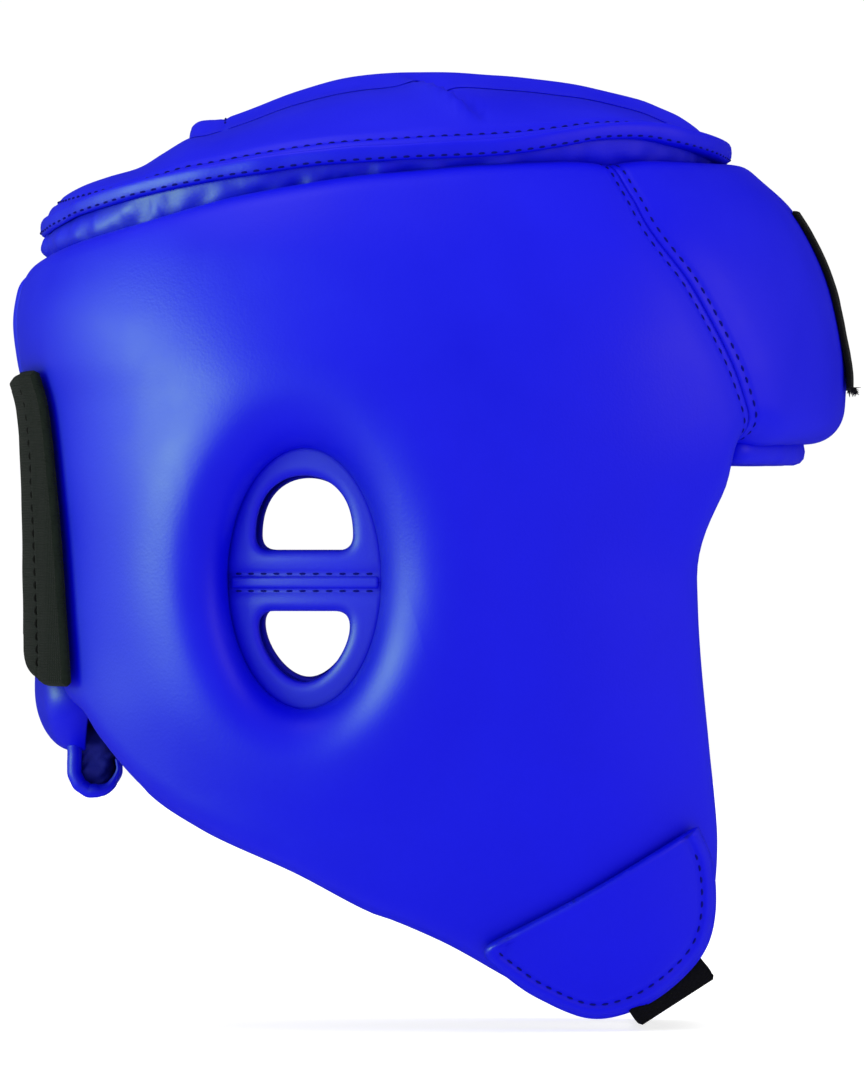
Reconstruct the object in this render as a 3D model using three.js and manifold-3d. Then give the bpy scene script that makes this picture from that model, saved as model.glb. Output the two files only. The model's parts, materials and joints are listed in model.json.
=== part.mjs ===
// Boxing headgear with padded side, forehead, crown and nape panels, ear guards, and three
// hook-and-loop closures: a rear strap, a chin strap with a pull tab, and a crown flap.
// Millimetres. +X is the way the wearer looks, +Y is the wearer's left, +Z is up. The origin is the
// point midway between the two ear openings, on the axis through them.
import * as THREE from "three";
import { mergeVertices } from "three/addons/utils/BufferGeometryUtils.js";
import Module from "manifold-3d";

const wasm = await Module();
wasm.setup();

// ---------- Driving dimensions ----------
const LEATHER = 1.4; // outer cover
const LINING = 1.2; // inner lining
const FOAM_GAP = 0.6; // between a cover or lining and its foam, and between two foam layers
const SEAM_GAP = 0.25; // each panel stops this far short of the forehead seam
const SIDE_PAD = 21; // pad thickness over the sides of the head
const FRONT_PAD = 28; // pad thickness over the forehead
const REAR_PAD = 18; // pad thickness at the back of the head
const EDGE_DEPTH = 0.68; // where in the pad's thickness the sewn edge lies, 1 being the lining
const HEAD_X = 20; // where the shell is widest
const ROUNDNESS = 2.3; // exponent of the plan section: 2 is an ellipse, more is squarer
const EAR = { x: 0, z: 0, rx: 21.3, rz: 36.3, bowl: 0.58, seat: 16 }; // hole, bowl's share, its depth
const EAR_GUARD = 1.6; // thickness of the perforated ear guard
const FOREHEAD_BOTTOM = 34.8;
const CROWN = { x: 22.5, halfLength: 92, halfWidth: 76, pad: 14, rim: 3.2 };
const HOOK = 0.8; // thickness of hook tape and loop tape
const STRAP = 1.9; // thickness of a strap

// ---------- Small maths ----------
const clamp = (x, low, high) => Math.min(high, Math.max(low, x));
const mix = (a, b, share) => a + (b - a) * share;
const smooth = (x) => {
  const s = clamp(x, 0, 1);
  return s * s * (3 - 2 * s);
};
const signedPower = (x, power) => Math.sign(x) * Math.abs(x) ** power;

// A smooth function through [input, value] pairs, level beyond the ends.
function through(pairs) {
  const slope = pairs.map((p, i) => {
    const a = pairs[Math.max(0, i - 1)];
    const b = pairs[Math.min(pairs.length - 1, i + 1)];
    return (b[1] - a[1]) / (b[0] - a[0]);
  });
  return (input) => {
    const x = clamp(input, pairs[0][0], pairs[pairs.length - 1][0]);
    let i = 0;
    while (i < pairs.length - 2 && x > pairs[i + 1][0]) i += 1;
    const width = pairs[i + 1][0] - pairs[i][0];
    const s = (x - pairs[i][0]) / width;
    const rise = pairs[i + 1][1] - pairs[i][1];
    const blend = s * s * (3 - 2 * s);
    const bend = s * (1 - s);
    const start = bend * (1 - s) * (slope[i] * width);
    const end = bend * s * (slope[i + 1] * width);
    return pairs[i][1] + rise * blend + start - end;
  };
}

// The rounded edge of a pad: 0 at the sewn edge, 1 from one radius in.
function roll(distance, radius) {
  const s = clamp(distance / radius, 0, 1);
  return (1 - (1 - s) ** 2.2) ** (1 / 2.2);
}

// ---------- Solids ----------
function geometryFrom(vertices, faces) {
  const geometry = new THREE.BufferGeometry();
  geometry.setAttribute("position", new THREE.Float32BufferAttribute(vertices.flat(), 3));
  geometry.setIndex(faces.flat());
  return geometry;
}

function solidFrom(geometry) {
  const bare = geometry.clone();
  bare.deleteAttribute("normal");
  bare.deleteAttribute("uv");
  const merged = mergeVertices(bare, 1e-3);
  return new wasm.Manifold(
    new wasm.Mesh({
      numProp: 3,
      vertProperties: merged.attributes.position.array,
      triVerts: new Uint32Array(merged.index.array),
    }),
  );
}

function geometryOf(solid) {
  const mesh = solid.getMesh();
  const geometry = new THREE.BufferGeometry();
  geometry.setAttribute("position", new THREE.BufferAttribute(mesh.vertProperties, 3));
  geometry.setIndex(new THREE.BufferAttribute(mesh.triVerts, 1));
  return geometry;
}

// A closed slab between two grids of points: upper(i, j) and lower(i, j) for i to columns, j to rows.
// Its faces are turned outwards whichever way round the grid runs.
function slab(columns, rows, upper, lower) {
  const vertices = [];
  const faces = [];
  const layer = (columns + 1) * (rows + 1);
  const at = (side, i, j) => side * layer + i * (rows + 1) + j;
  for (const point of [upper, lower]) {
    for (let i = 0; i <= columns; i += 1) {
      for (let j = 0; j <= rows; j += 1) vertices.push(point(i, j).toArray());
    }
  }
  const quad = (a, b, c, d) => faces.push([a, b, c], [a, c, d]);
  for (let i = 0; i < columns; i += 1) {
    for (let j = 0; j < rows; j += 1) {
      quad(at(0, i, j), at(0, i + 1, j), at(0, i + 1, j + 1), at(0, i, j + 1));
      quad(at(1, i, j), at(1, i, j + 1), at(1, i + 1, j + 1), at(1, i + 1, j));
    }
  }
  for (let i = 0; i < columns; i += 1) {
    quad(at(0, i, 0), at(1, i, 0), at(1, i + 1, 0), at(0, i + 1, 0));
    quad(at(0, i, rows), at(0, i + 1, rows), at(1, i + 1, rows), at(1, i, rows));
  }
  for (let j = 0; j < rows; j += 1) {
    quad(at(0, 0, j), at(0, 0, j + 1), at(1, 0, j + 1), at(1, 0, j));
    quad(at(0, columns, j), at(1, columns, j), at(1, columns, j + 1), at(0, columns, j + 1));
  }
  return outward(vertices, faces);
}

function outward(vertices, faces) {
  let volume = 0;
  for (const [a, b, c] of faces) {
    const [p, q, r] = [vertices[a], vertices[b], vertices[c]];
    volume += p[0] * (q[1] * r[2] - q[2] * r[1]);
    volume -= p[1] * (q[0] * r[2] - q[2] * r[0]);
    volume += p[2] * (q[0] * r[1] - q[1] * r[0]);
  }
  const turned = volume < 0 ? faces.map(([a, b, c]) => [a, c, b]) : faces;
  return geometryFrom(vertices, turned);
}

// A prism along Y over an outline in x and z, from y = near to y = far.
function prismY(shape, near, far) {
  const geometry = new THREE.ExtrudeGeometry(shape, {
    depth: far - near,
    bevelEnabled: false,
    curveSegments: 8,
  });
  geometry.rotateX(Math.PI / 2); // the shape's second axis becomes z, and its depth runs to -y
  geometry.translate(0, far, 0);
  return geometry;
}

// ---------- The shell's outer envelope ----------
const halfWidthAt = through([
  [-130, 58],
  [-100, 72],
  [-60, 88],
  [-20, 98],
  [20, 102],
  [58, 101],
  [88, 94],
  [106, 85],
  [120, 74],
  [128, 64],
]);
const frontAt = through([
  [-130, 135],
  [-60, 131],
  [0, 134],
  [34, 150],
  [56, 153],
  [72, 151.5],
  [88, 147.5],
  [104, 140],
  [113, 131],
  [119, 124],
  [128, 109],
]);
const backAt = through([
  [-60, -73],
  [-38, -77],
  [-18, -77],
  [20, -77.5],
  [48, -79],
  [62, -82.5],
  [74, -83.5],
  [86, -81.5],
  [98, -76],
  [110, -65],
  [122, -50],
]);

const reachAt = (t, z) => (Math.cos(t) > 0 ? frontAt(z) - HEAD_X : HEAD_X - backAt(z));

// A point of the envelope: t is the plan angle, 0 straight ahead, PI at the back, positive leftwards.
function envelope(t, z) {
  const power = 2 / ROUNDNESS;
  return new THREE.Vector3(
    HEAD_X + reachAt(t, z) * signedPower(Math.cos(t), power),
    halfWidthAt(z) * signedPower(Math.sin(t), power),
    z,
  );
}

const angleAtX = (x, z) => {
  const reach = x > HEAD_X ? frontAt(z) - HEAD_X : HEAD_X - backAt(z);
  return Math.acos(clamp(signedPower((x - HEAD_X) / reach, ROUNDNESS / 2), -1, 1));
};
const angleAtBackY = (y, z) => Math.PI - Math.asin((y / halfWidthAt(z)) ** (ROUNDNESS / 2));

function normalAt(t, z) {
  const step = 0.02;
  const around = envelope(t + step, z).sub(envelope(t - step, z));
  const up = envelope(t, z + 1).sub(envelope(t, z - 1));
  return around.cross(up).normalize();
}

// The point a given depth inside the envelope, or outside it for a negative depth.
const shellPoint = (t, z, depth) => envelope(t, z).addScaledVector(normalAt(t, z), -depth);

const padThickness = (t) => {
  const turn = Math.abs(t);
  const front = (FRONT_PAD - SIDE_PAD) * (1 - smooth((turn - 0.35) / 0.6));
  const rear = (REAR_PAD - SIDE_PAD) * smooth((turn - 2.3) / 0.6);
  return SIDE_PAD + front + rear;
};

// ---------- Outlines on the envelope, as curves over (t, z) ----------
const ANGLE_SCALE = 100; // about the radius in mm, so that t and z run at like lengths
const onSide = (x, z) => new THREE.Vector2(angleAtX(x, z) * ANGLE_SCALE, z);
const onBack = (y, z) => new THREE.Vector2(angleAtBackY(y, z) * ANGLE_SCALE, z);

const CHIN_CORNER = [109, -111];
const BROW_CORNER = [127.5, FOREHEAD_BOTTOM];
const SEAM_TOP = [83, 122];
const REAR_FOOT = [-63, -41];
const REAR_HEAD_Z = 93;
const REAR_HALF_GAP = 15;

const faceEdge = new THREE.SplineCurve([
  onSide(...CHIN_CORNER),
  onSide(118, -98),
  onSide(120.6, -74),
  onSide(118.3, -45),
  onSide(115.4, -10),
  onSide(115.2, 8),
  onSide(119, 22),
  onSide(...BROW_CORNER),
]);
const foreheadSeam = new THREE.SplineCurve([
  onSide(...BROW_CORNER),
  onSide(124.4, 50),
  onSide(118, 66),
  onSide(109, 82),
  onSide(95.5, 101),
  onSide(...SEAM_TOP),
]);
const sideBottomEdge = new THREE.SplineCurve([
  onSide(...CHIN_CORNER),
  onSide(97, -121),
  onSide(83, -125),
  onSide(64, -118.2),
  onSide(36, -103.6),
  onSide(-2, -87.6),
  onSide(-34, -72),
  onSide(...REAR_FOOT),
]);
const sideRearEdge = new THREE.SplineCurve([
  onSide(...REAR_FOOT),
  onBack(36, -24),
  onBack(20, 0),
  onBack(REAR_HALF_GAP, 28),
  onBack(REAR_HALF_GAP, 62),
  onBack(REAR_HALF_GAP, REAR_HEAD_Z),
]);
const sideTopEdge = new THREE.SplineCurve([
  onSide(...SEAM_TOP),
  onSide(54, 121),
  onSide(20, 118),
  onSide(-20, 111.5),
  onSide(-52, 102.5),
  onBack(REAR_HALF_GAP, REAR_HEAD_Z),
]);

const pointsOn = (curve) =>
  curve.getSpacedPoints(80).map((p) => envelope(p.x / ANGLE_SCALE, p.y));
const browPoints = Array.from({ length: 41 }, (_, i) => {
  const t = mix(-1, 1, i / 40) * angleAtX(...BROW_CORNER);
  return envelope(t, FOREHEAD_BOTTOM);
});
const freeEdges = {
  face: { points: [...pointsOn(faceEdge), ...browPoints], radius: 15 },
  bottom: { points: pointsOn(sideBottomEdge), radius: 13 },
  rear: { points: pointsOn(sideRearEdge), radius: 9 },
  top: { points: pointsOn(sideTopEdge), radius: 12 },
};
const foreheadTop = Array.from({ length: 41 }, (_, i) => {
  const t = mix(-1, 1, i / 40) * angleAtX(...SEAM_TOP);
  return envelope(t, SEAM_TOP[1]);
});
freeEdges.top.points.push(...foreheadTop);
const seamPoints = pointsOn(foreheadSeam);
const nearest = (point, points) => Math.min(...points.map((p) => p.distanceTo(point)));

// How far the pad has risen from its sewn edges, 0 to 1. radiusShare scales each edge's rounding.
function pillow(point, radiusShare) {
  return Object.values(freeEdges).reduce(
    (rise, edge) => rise * roll(nearest(point, edge.points), edge.radius * radiusShare),
    1,
  );
}

// The ear bowl: how deep the padding dips at a point, from the hole's rim out to the bowl's crest.
function bowlDepth(point) {
  const reach = Math.hypot((point.x - EAR.x) / EAR.rx, (point.z - EAR.z) / EAR.rz);
  const share = clamp((reach - 1) / EAR.bowl, 0, 1);
  const dip = EAR.seat * (1 - Math.sqrt(1 - (1 - share) ** 2));
  const ridge = 2 * Math.exp(-(((reach - 1.75) / 0.25) ** 2));
  return dip - ridge;
}

// Depths of the pad's outer skin and of the lining's inner face at one place on the left side.
function padDepths(t, z) {
  const point = envelope(Math.abs(t), z);
  const thickness = padThickness(t);
  const edge = thickness * EDGE_DEPTH;
  const seamGroove = 1.8 * Math.exp(-((nearest(point, seamPoints) / 4.5) ** 2));
  const raised = (edge - LEATHER - FOAM_GAP / 2) * (1 - pillow(point, 1));
  const skin = raised + seamGroove + (point.x < 80 ? bowlDepth(point) : 0);
  const inside = thickness - (thickness - edge - LINING) * (1 - pillow(point, 0.6));
  return { skin: Math.min(skin, inside - LEATHER - LINING - FOAM_GAP / 2), inside };
}

// ---------- Padded panels made of a cover, two foams and a lining ----------
const foamTop = (cell) => cell.skin + LEATHER + FOAM_GAP;
const foamBottom = (cell) => cell.inside - LINING - FOAM_GAP;
const foamMiddle = (cell) => (foamTop(cell) + foamBottom(cell)) / 2;
const LAYERS = {
  cover: { top: (c) => c.skin, bottom: (c) => c.skin + LEATHER, foam: false },
  outer_foam: { top: foamTop, bottom: (c) => foamMiddle(c) - FOAM_GAP / 2, foam: true },
  inner_foam: { top: (c) => foamMiddle(c) + FOAM_GAP / 2, bottom: foamBottom, foam: true },
  lining: { top: (c) => c.inside - LINING, bottom: (c) => c.inside, foam: false },
};

// A panel is a grid of places (t, z) with depths. A foam stops one grid cell short of the sewn edge.
function makePanel(columns, rows, place, depthsAt) {
  return Array.from({ length: columns + 1 }, (_, i) =>
    Array.from({ length: rows + 1 }, (_, j) => {
      const { t, z } = place(i, j);
      return { outer: envelope(t, z), normal: normalAt(t, z), ...depthsAt(t, z, i, j) };
    }),
  );
}

function panelLayer(panel, layer) {
  const inset = layer.foam ? 1 : 0;
  const corner = (i, j, depthOf) => {
    const cell = panel[i + inset][j + inset];
    return cell.outer.clone().addScaledVector(cell.normal, -depthOf(cell));
  };
  return slab(
    panel.length - 1 - 2 * inset,
    panel[0].length - 1 - 2 * inset,
    (i, j) => corner(i, j, layer.top),
    (i, j) => corner(i, j, layer.bottom),
  );
}

// ---------- Side panels ----------
// Shares of the way across and up the panel: closer at the edges, where the pad rounds over.
const SIDE_COLUMNS = [0, 0.025, 0.08, 0.2, 0.33, 0.45, 0.57, 0.69, 0.81, 0.92, 0.975, 1];
const BROW_SHARE = 0.55; // where the forehead seam meets the face opening
const FACE_ROWS = [0, 0.03, 0.09, 0.19, 0.29, 0.38, 0.47];
const SEAM_ROWS = [BROW_SHARE, 0.575, 0.63, 0.73, 0.83, 0.91, 0.97, 1];
const SIDE_ROWS = [...FACE_ROWS, ...SEAM_ROWS];

const frontBoundary = (v) =>
  v < BROW_SHARE
    ? faceEdge.getPointAt(v / BROW_SHARE)
    : foreheadSeam.getPointAt((v - BROW_SHARE) / (1 - BROW_SHARE));

// A Coons patch over the four edges, in (t, z).
function sidePlace(i, j) {
  const [u, v] = [SIDE_COLUMNS[i], SIDE_ROWS[j]];
  const front = frontBoundary(v);
  const rear = sideRearEdge.getPointAt(v);
  const bottom = sideBottomEdge.getPointAt(u);
  const top = sideTopEdge.getPointAt(u);
  const across = (key) => mix(front[key], rear[key], u) + mix(bottom[key], top[key], v);
  const corners = (key) =>
    mix(
      mix(frontBoundary(0)[key], frontBoundary(1)[key], v),
      mix(sideRearEdge.getPointAt(0)[key], sideRearEdge.getPointAt(1)[key], v),
      u,
    );
  const clear = i === 0 && v >= BROW_SHARE ? SEAM_GAP / ANGLE_SCALE : 0;
  return { t: (across("x") - corners("x")) / ANGLE_SCALE + clear, z: across("y") - corners("y") };
}

const earOutline = (grow) => {
  const shape = new THREE.Shape();
  shape.absellipse(EAR.x, EAR.z, EAR.rx + grow, EAR.rz + grow, 0, 2 * Math.PI);
  return shape;
};
const earCutter = (grow) => solidFrom(prismY(earOutline(grow), 40, 130));
const FOAM_EAR_MARGIN = 6.5;

const sidePanel = makePanel(SIDE_COLUMNS.length - 1, SIDE_ROWS.length - 1, sidePlace, padDepths);
const sideLayers = Object.fromEntries(
  Object.entries(LAYERS).map(([name, layer]) => {
    const solid = solidFrom(panelLayer(sidePanel, layer));
    return [name, geometryOf(solid.subtract(earCutter(layer.foam ? FOAM_EAR_MARGIN : 0)))];
  }),
);

// ---------- Ear guards: an oval leather panel with a D-shaped sound hole above and below its seam ----------
const EAR_SEAM_Z = -1;

// A D-shaped hole: flat on the seam's side and domed away from it. up is 1 above the seam, -1 below.
function soundHole(up, flatZ, domeZ, halfWidth, shoulder) {
  const shape = new THREE.Shape();
  const corner = 3.5;
  const inner = flatZ + up * corner;
  shape.moveTo(-halfWidth + corner, flatZ);
  shape.lineTo(halfWidth - corner, flatZ);
  shape.quadraticCurveTo(halfWidth, flatZ, halfWidth, inner);
  shape.bezierCurveTo(halfWidth, shoulder, halfWidth * 0.5, domeZ, 0, domeZ);
  shape.bezierCurveTo(-halfWidth * 0.5, domeZ, -halfWidth, shoulder, -halfWidth, inner);
  shape.quadraticCurveTo(-halfWidth, flatZ, -halfWidth + corner, flatZ);
  return shape;
}
const upperHole = soundHole(1, 8, 28.7, 13.3, 22);
const lowerHole = soundHole(-1, -9, -28.7, 12.6, -18);

// A sheet across the ear opening between two depths in the pad.
function sheetOverEar(halfX, zLow, zHigh, depthTop, depthBottom) {
  const [columns, rows] = [6, 4];
  const place = (i, j, depth) => {
    const z = mix(zLow, zHigh, j / rows);
    return shellPoint(angleAtX(mix(-halfX, halfX, i / columns), z), z, depth);
  };
  return slab(
    columns,
    rows,
    (i, j) => place(i, j, depthTop),
    (i, j) => place(i, j, depthBottom),
  );
}

// The guard reaches under the cover's rim, between the cover and the lining.
const guardTop = EAR.seat + LEATHER + 0.4;
const guardBottom = guardTop + EAR_GUARD;
function earGuardHalf(up) {
  const near = EAR_SEAM_Z + up * 0.3;
  const far = up * 45;
  const blank = sheetOverEar(30, Math.min(near, far), Math.max(near, far), guardTop, guardBottom);
  return geometryOf(
    solidFrom(blank)
      .intersect(earCutter(3.5))
      .subtract(solidFrom(prismY(up > 0 ? upperHole : lowerHole, 40, 130))),
  );
}
const earGuards = { upper: earGuardHalf(1), lower: earGuardHalf(-1) };
const earTape = geometryOf(
  solidFrom(
    sheetOverEar(24, EAR_SEAM_Z - 4.6, EAR_SEAM_Z + 4.6, guardBottom + 0.4, guardBottom + 1.2),
  ).intersect(earCutter(-1.2)),
);

// ---------- Forehead panel ----------
const FOREHEAD_COLUMNS = [-1, -0.96, -0.78, -0.56, -0.34, -0.11, 0.11, 0.34, 0.56, 0.78, 0.96, 1];
const foreheadPlace = (i, j) => {
  const side = FOREHEAD_COLUMNS[i];
  const seam = frontBoundary(SEAM_ROWS[j]);
  return { t: (side * (seam.x - SEAM_GAP)) / ANGLE_SCALE, z: seam.y };
};
const foreheadPanel = makePanel(
  FOREHEAD_COLUMNS.length - 1,
  SEAM_ROWS.length - 1,
  foreheadPlace,
  padDepths,
);

// A slab that stands off the skin of the pads. place(i, j) gives (t, z), and follow is how much of
// the skin's own depth the slab takes up.
function onSkin(columns, rows, place, standOff, thickness, follow) {
  const at = (i, j, height) => {
    const { t, z } = place(i, j);
    return shellPoint(t, z, follow * padDepths(t, z).skin - height);
  };
  return slab(
    columns,
    rows,
    (i, j) => at(i, j, standOff + thickness),
    (i, j) => at(i, j, standOff),
  );
}

// The same, standing off the smooth envelope.
function onEnvelope(columns, rows, place, standOff, thickness) {
  const at = (i, j, height) => {
    const { t, z } = place(i, j);
    return shellPoint(t, z, -height);
  };
  return slab(
    columns,
    rows,
    (i, j) => at(i, j, standOff + thickness),
    (i, j) => at(i, j, standOff),
  );
}

// A blank patch on the front of the forehead, and the hem that closes the pad over the brow.
const PATCH = { halfWidth: 18, bottom: 54, top: 103 };
const foreheadPatch = onEnvelope(
  8,
  6,
  (i, j) => {
    const z = mix(PATCH.bottom, PATCH.top, j / 6);
    const y = mix(-1, 1, i / 8) * PATCH.halfWidth;
    return { t: Math.asin(signedPower(y / halfWidthAt(z), ROUNDNESS / 2)), z };
  },
  0.5,
  1.6,
);
const BROW_HEM = { outerDepth: 10, width: 5, height: 3.2, z: 34.4, columns: 14 };
const browHem = (() => {
  const half = angleAtX(...BROW_CORNER) * 0.88;
  const at = (i, j, drop) => {
    const t = mix(-half, half, i / BROW_HEM.columns);
    const point = envelope(t, FOREHEAD_BOTTOM);
    const outwards = normalAt(t, FOREHEAD_BOTTOM).setZ(0).normalize();
    point.addScaledVector(outwards, -(BROW_HEM.outerDepth + j * BROW_HEM.width));
    return point.setZ(BROW_HEM.z - drop);
  };
  return slab(
    BROW_HEM.columns,
    1,
    (i, j) => at(i, j, 0),
    (i, j) => at(i, j, BROW_HEM.height),
  );
})();

// ---------- Crown ----------
const crownTopAt = through([
  [-69.5, 98.5],
  [-68, 102.5],
  [-64, 107],
  [-56, 112.5],
  [-46, 116.5],
  [-33, 121],
  [-20, 126],
  [-4, 131.8],
  [12, 136.3],
  [30, 138.6],
  [50, 138.2],
  [74, 135.4],
  [94, 130.5],
  [108, 126],
  [114.5, 122.5],
]);
const crownSeamAt = through([
  [-69.5, 98.5],
  [-50, 106.5],
  [-16, 114.5],
  [26, 119.2],
  [55, 121],
  [83, 122.5],
  [114.5, 122.5],
]);
const crownHalfWidthAt = (x) =>
  CROWN.halfWidth *
  Math.max(0, 1 - Math.abs((x - CROWN.x) / CROWN.halfLength) ** ROUNDNESS) ** (1 / ROUNDNESS);

function crownHeight(x, y) {
  const halfWidth = Math.max(1, crownHalfWidthAt(x));
  const share = clamp(Math.abs(y) / halfWidth, 0, 1);
  return mix(crownSeamAt(x), crownTopAt(x), (1 - share ** 2.2) ** 0.85);
}

// A point of the crown's plan: ring runs 0 at the middle to 1 at the rim.
function crownPlan(ring, angle) {
  const power = 2 / ROUNDNESS;
  const x = CROWN.x + CROWN.halfLength * ring * signedPower(Math.cos(angle), power);
  return [x, CROWN.halfWidth * ring * signedPower(Math.sin(angle), power)];
}
const crownThicknessAt = (ring) => mix(CROWN.pad, CROWN.rim, smooth((ring - 0.7) / 0.3));
function crownRing(point) {
  const along = Math.abs((point.x - CROWN.x) / CROWN.halfLength) ** ROUNDNESS;
  return (along + Math.abs(point.y / CROWN.halfWidth) ** ROUNDNESS) ** (1 / ROUNDNESS);
}
const CROWN_RINGS = [0.3, 0.55, 0.76, 0.9, 1];
const CROWN_STEPS = 28;

// A closed disc between two depths below the crown's outer surface, cut off at a ring.
function crownLayer(depthTop, depthBottom, lastRing) {
  const rings = CROWN_RINGS.map((r) => Math.min(r, lastRing)).filter(
    (r, i, all) => i === 0 || r > all[i - 1],
  );
  const vertices = [];
  const faces = [];
  const perSide = 1 + rings.length * CROWN_STEPS;
  for (const depth of [depthTop, depthBottom]) {
    vertices.push([CROWN.x, 0, crownHeight(CROWN.x, 0) - depth(0)]);
    for (const ring of rings) {
      for (let k = 0; k < CROWN_STEPS; k += 1) {
        const [x, y] = crownPlan(ring, (2 * Math.PI * k) / CROWN_STEPS);
        vertices.push([x, y, crownHeight(x, y) - depth(ring)]);
      }
    }
  }
  const at = (side, r, k) => side * perSide + 1 + r * CROWN_STEPS + (k % CROWN_STEPS);
  for (let k = 0; k < CROWN_STEPS; k += 1) {
    faces.push([0, at(0, 0, k), at(0, 0, k + 1)]);
    faces.push([perSide, at(1, 0, k + 1), at(1, 0, k)]);
    for (let r = 0; r + 1 < rings.length; r += 1) {
      faces.push([at(0, r, k), at(0, r + 1, k), at(0, r + 1, k + 1)]);
      faces.push([at(0, r, k), at(0, r + 1, k + 1), at(0, r, k + 1)]);
      faces.push([at(1, r, k), at(1, r + 1, k + 1), at(1, r + 1, k)]);
      faces.push([at(1, r, k), at(1, r, k + 1), at(1, r + 1, k + 1)]);
    }
    const last = rings.length - 1;
    faces.push([at(0, last, k), at(1, last, k), at(1, last, k + 1)]);
    faces.push([at(0, last, k), at(1, last, k + 1), at(0, last, k + 1)]);
  }
  return outward(vertices, faces);
}
const crownCover = crownLayer(() => 0, () => LEATHER, 1);
const crownFoam = crownLayer(
  () => LEATHER + FOAM_GAP,
  (r) => crownThicknessAt(r) - LINING - FOAM_GAP,
  0.9,
);
const crownLining = crownLayer(
  (r) => crownThicknessAt(r) - LINING,
  (r) => crownThicknessAt(r),
  1,
);

// A ring of four-cornered section: corners(k) gives the section's corners, in order, at step k.
function ringSolid(steps, corners) {
  const vertices = [];
  const faces = [];
  const sections = Array.from({ length: steps }, (_, k) => corners(k));
  const count = sections[0].length;
  sections.forEach((section) => section.forEach((p) => vertices.push(p.toArray())));
  for (let k = 0; k < steps; k += 1) {
    for (let c = 0; c < count; c += 1) {
      const a = k * count + c;
      const b = k * count + ((c + 1) % count);
      const d = ((k + 1) % steps) * count + c;
      const e = ((k + 1) % steps) * count + ((c + 1) % count);
      faces.push([a, b, e], [a, e, d]);
    }
  }
  return outward(vertices, faces);
}

// The rolled hem sewn round the crown's rim, and the soft band that hangs the crown in the shell.
const HEM_RADIUS = 2.6;
const HEM_SIDES = 6;
const HEM_STEPS = 44;
const rimPoint = (angle, inset, drop) => {
  const [x, y] = crownPlan(1, angle);
  const outwards = new THREE.Vector3(x - CROWN.x, y, 0).normalize();
  return new THREE.Vector3(x, y, crownSeamAt(x) - drop).addScaledVector(outwards, -inset);
};
const crownHem = ringSolid(HEM_STEPS, (k) => {
  const angle = (2 * Math.PI * k) / HEM_STEPS;
  const centre = rimPoint(angle, -(HEM_RADIUS + 0.6), 1.2);
  const outwards = rimPoint(angle, -1, 0).sub(rimPoint(angle, 0, 0));
  return Array.from({ length: HEM_SIDES }, (_, c) => {
    const turn = (2 * Math.PI * c) / HEM_SIDES;
    const point = centre.clone().addScaledVector(outwards, HEM_RADIUS * Math.cos(turn));
    point.z += HEM_RADIUS * Math.sin(turn);
    return point;
  });
});

const topEdgeZ = through([
  [-83, 92],
  [-52, 102.5],
  [-20, 111.5],
  [20, 118],
  [54, 121],
  [83, 122],
  [130, 122],
]);
const BAND = 1.6; // thickness
const BAND_LEAN = 2; // outwards, from foot to head
const BAND_INSET = 4; // the band's foot lies this much deeper in the pad than its sewn edge
const crownBand = ringSolid(HEM_STEPS, (k) => {
  const angle = (2 * Math.PI * k) / HEM_STEPS;
  const turn = angle > Math.PI ? angle - 2 * Math.PI : angle;
  const z = topEdgeZ(envelope(turn, 105).x);
  const foot = shellPoint(turn, z, padThickness(turn) * EDGE_DEPTH + BAND_INSET);
  foot.z += 1.5;
  const inwards = new THREE.Vector3(CROWN.x - foot.x, -foot.y, 0).normalize();
  const head = foot.clone().addScaledVector(inwards, -BAND_LEAN);
  head.z = crownHeight(head.x, head.y) - crownThicknessAt(crownRing(head) - 0.05) - 1.2;
  return [
    foot,
    head,
    head.clone().addScaledVector(inwards, BAND),
    foot.clone().addScaledVector(inwards, BAND),
  ];
});

// ---------- Crown flap: sewn at the front, it folds back over the crown on hook and loop ----------
const FLAP = { front: 104, rear: -31, halfWidth: 28, hinge: 106, anchorEnd: 116 };
const HOOK_ZONE = { low: -24, high: 18 };
const LOOP_LIFT = 0.5;
const HOOK_LIFT = LOOP_LIFT + HOOK + 0.4;
const FLAP_LIFT = HOOK_LIFT + HOOK + 0.4;

function onCrown(xLow, xHigh, halfWidth, lift, thickness, columns) {
  const at = (i, j, height) => {
    const x = mix(xLow, xHigh, i / columns);
    const y = mix(-halfWidth, halfWidth, j / 4);
    return new THREE.Vector3(x, y, crownHeight(x, y) + height);
  };
  return slab(
    columns,
    4,
    (i, j) => at(i, j, lift + thickness(mix(xLow, xHigh, i / columns))),
    (i, j) => at(i, j, lift),
  );
}
const flapHem = (x) => 2.6 + 2.4 * (1 - smooth((x - FLAP.rear - 2) / 5));
const crownFlap = onCrown(FLAP.rear, FLAP.front, FLAP.halfWidth, FLAP_LIFT, flapHem, 20);
const flapAnchor = onCrown(
  FLAP.hinge + 2, FLAP.anchorEnd, FLAP.halfWidth * 0.9, FLAP_LIFT - 1.6, () => 2.6, 2,
);
const tapeThickness = () => HOOK;
const flapHook = onCrown(HOOK_ZONE.low, HOOK_ZONE.high, 22, HOOK_LIFT, tapeThickness, 6);
const crownLoop = onCrown(HOOK_ZONE.low - 2, HOOK_ZONE.high + 12, 24, LOOP_LIFT, tapeThickness, 8);

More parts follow.
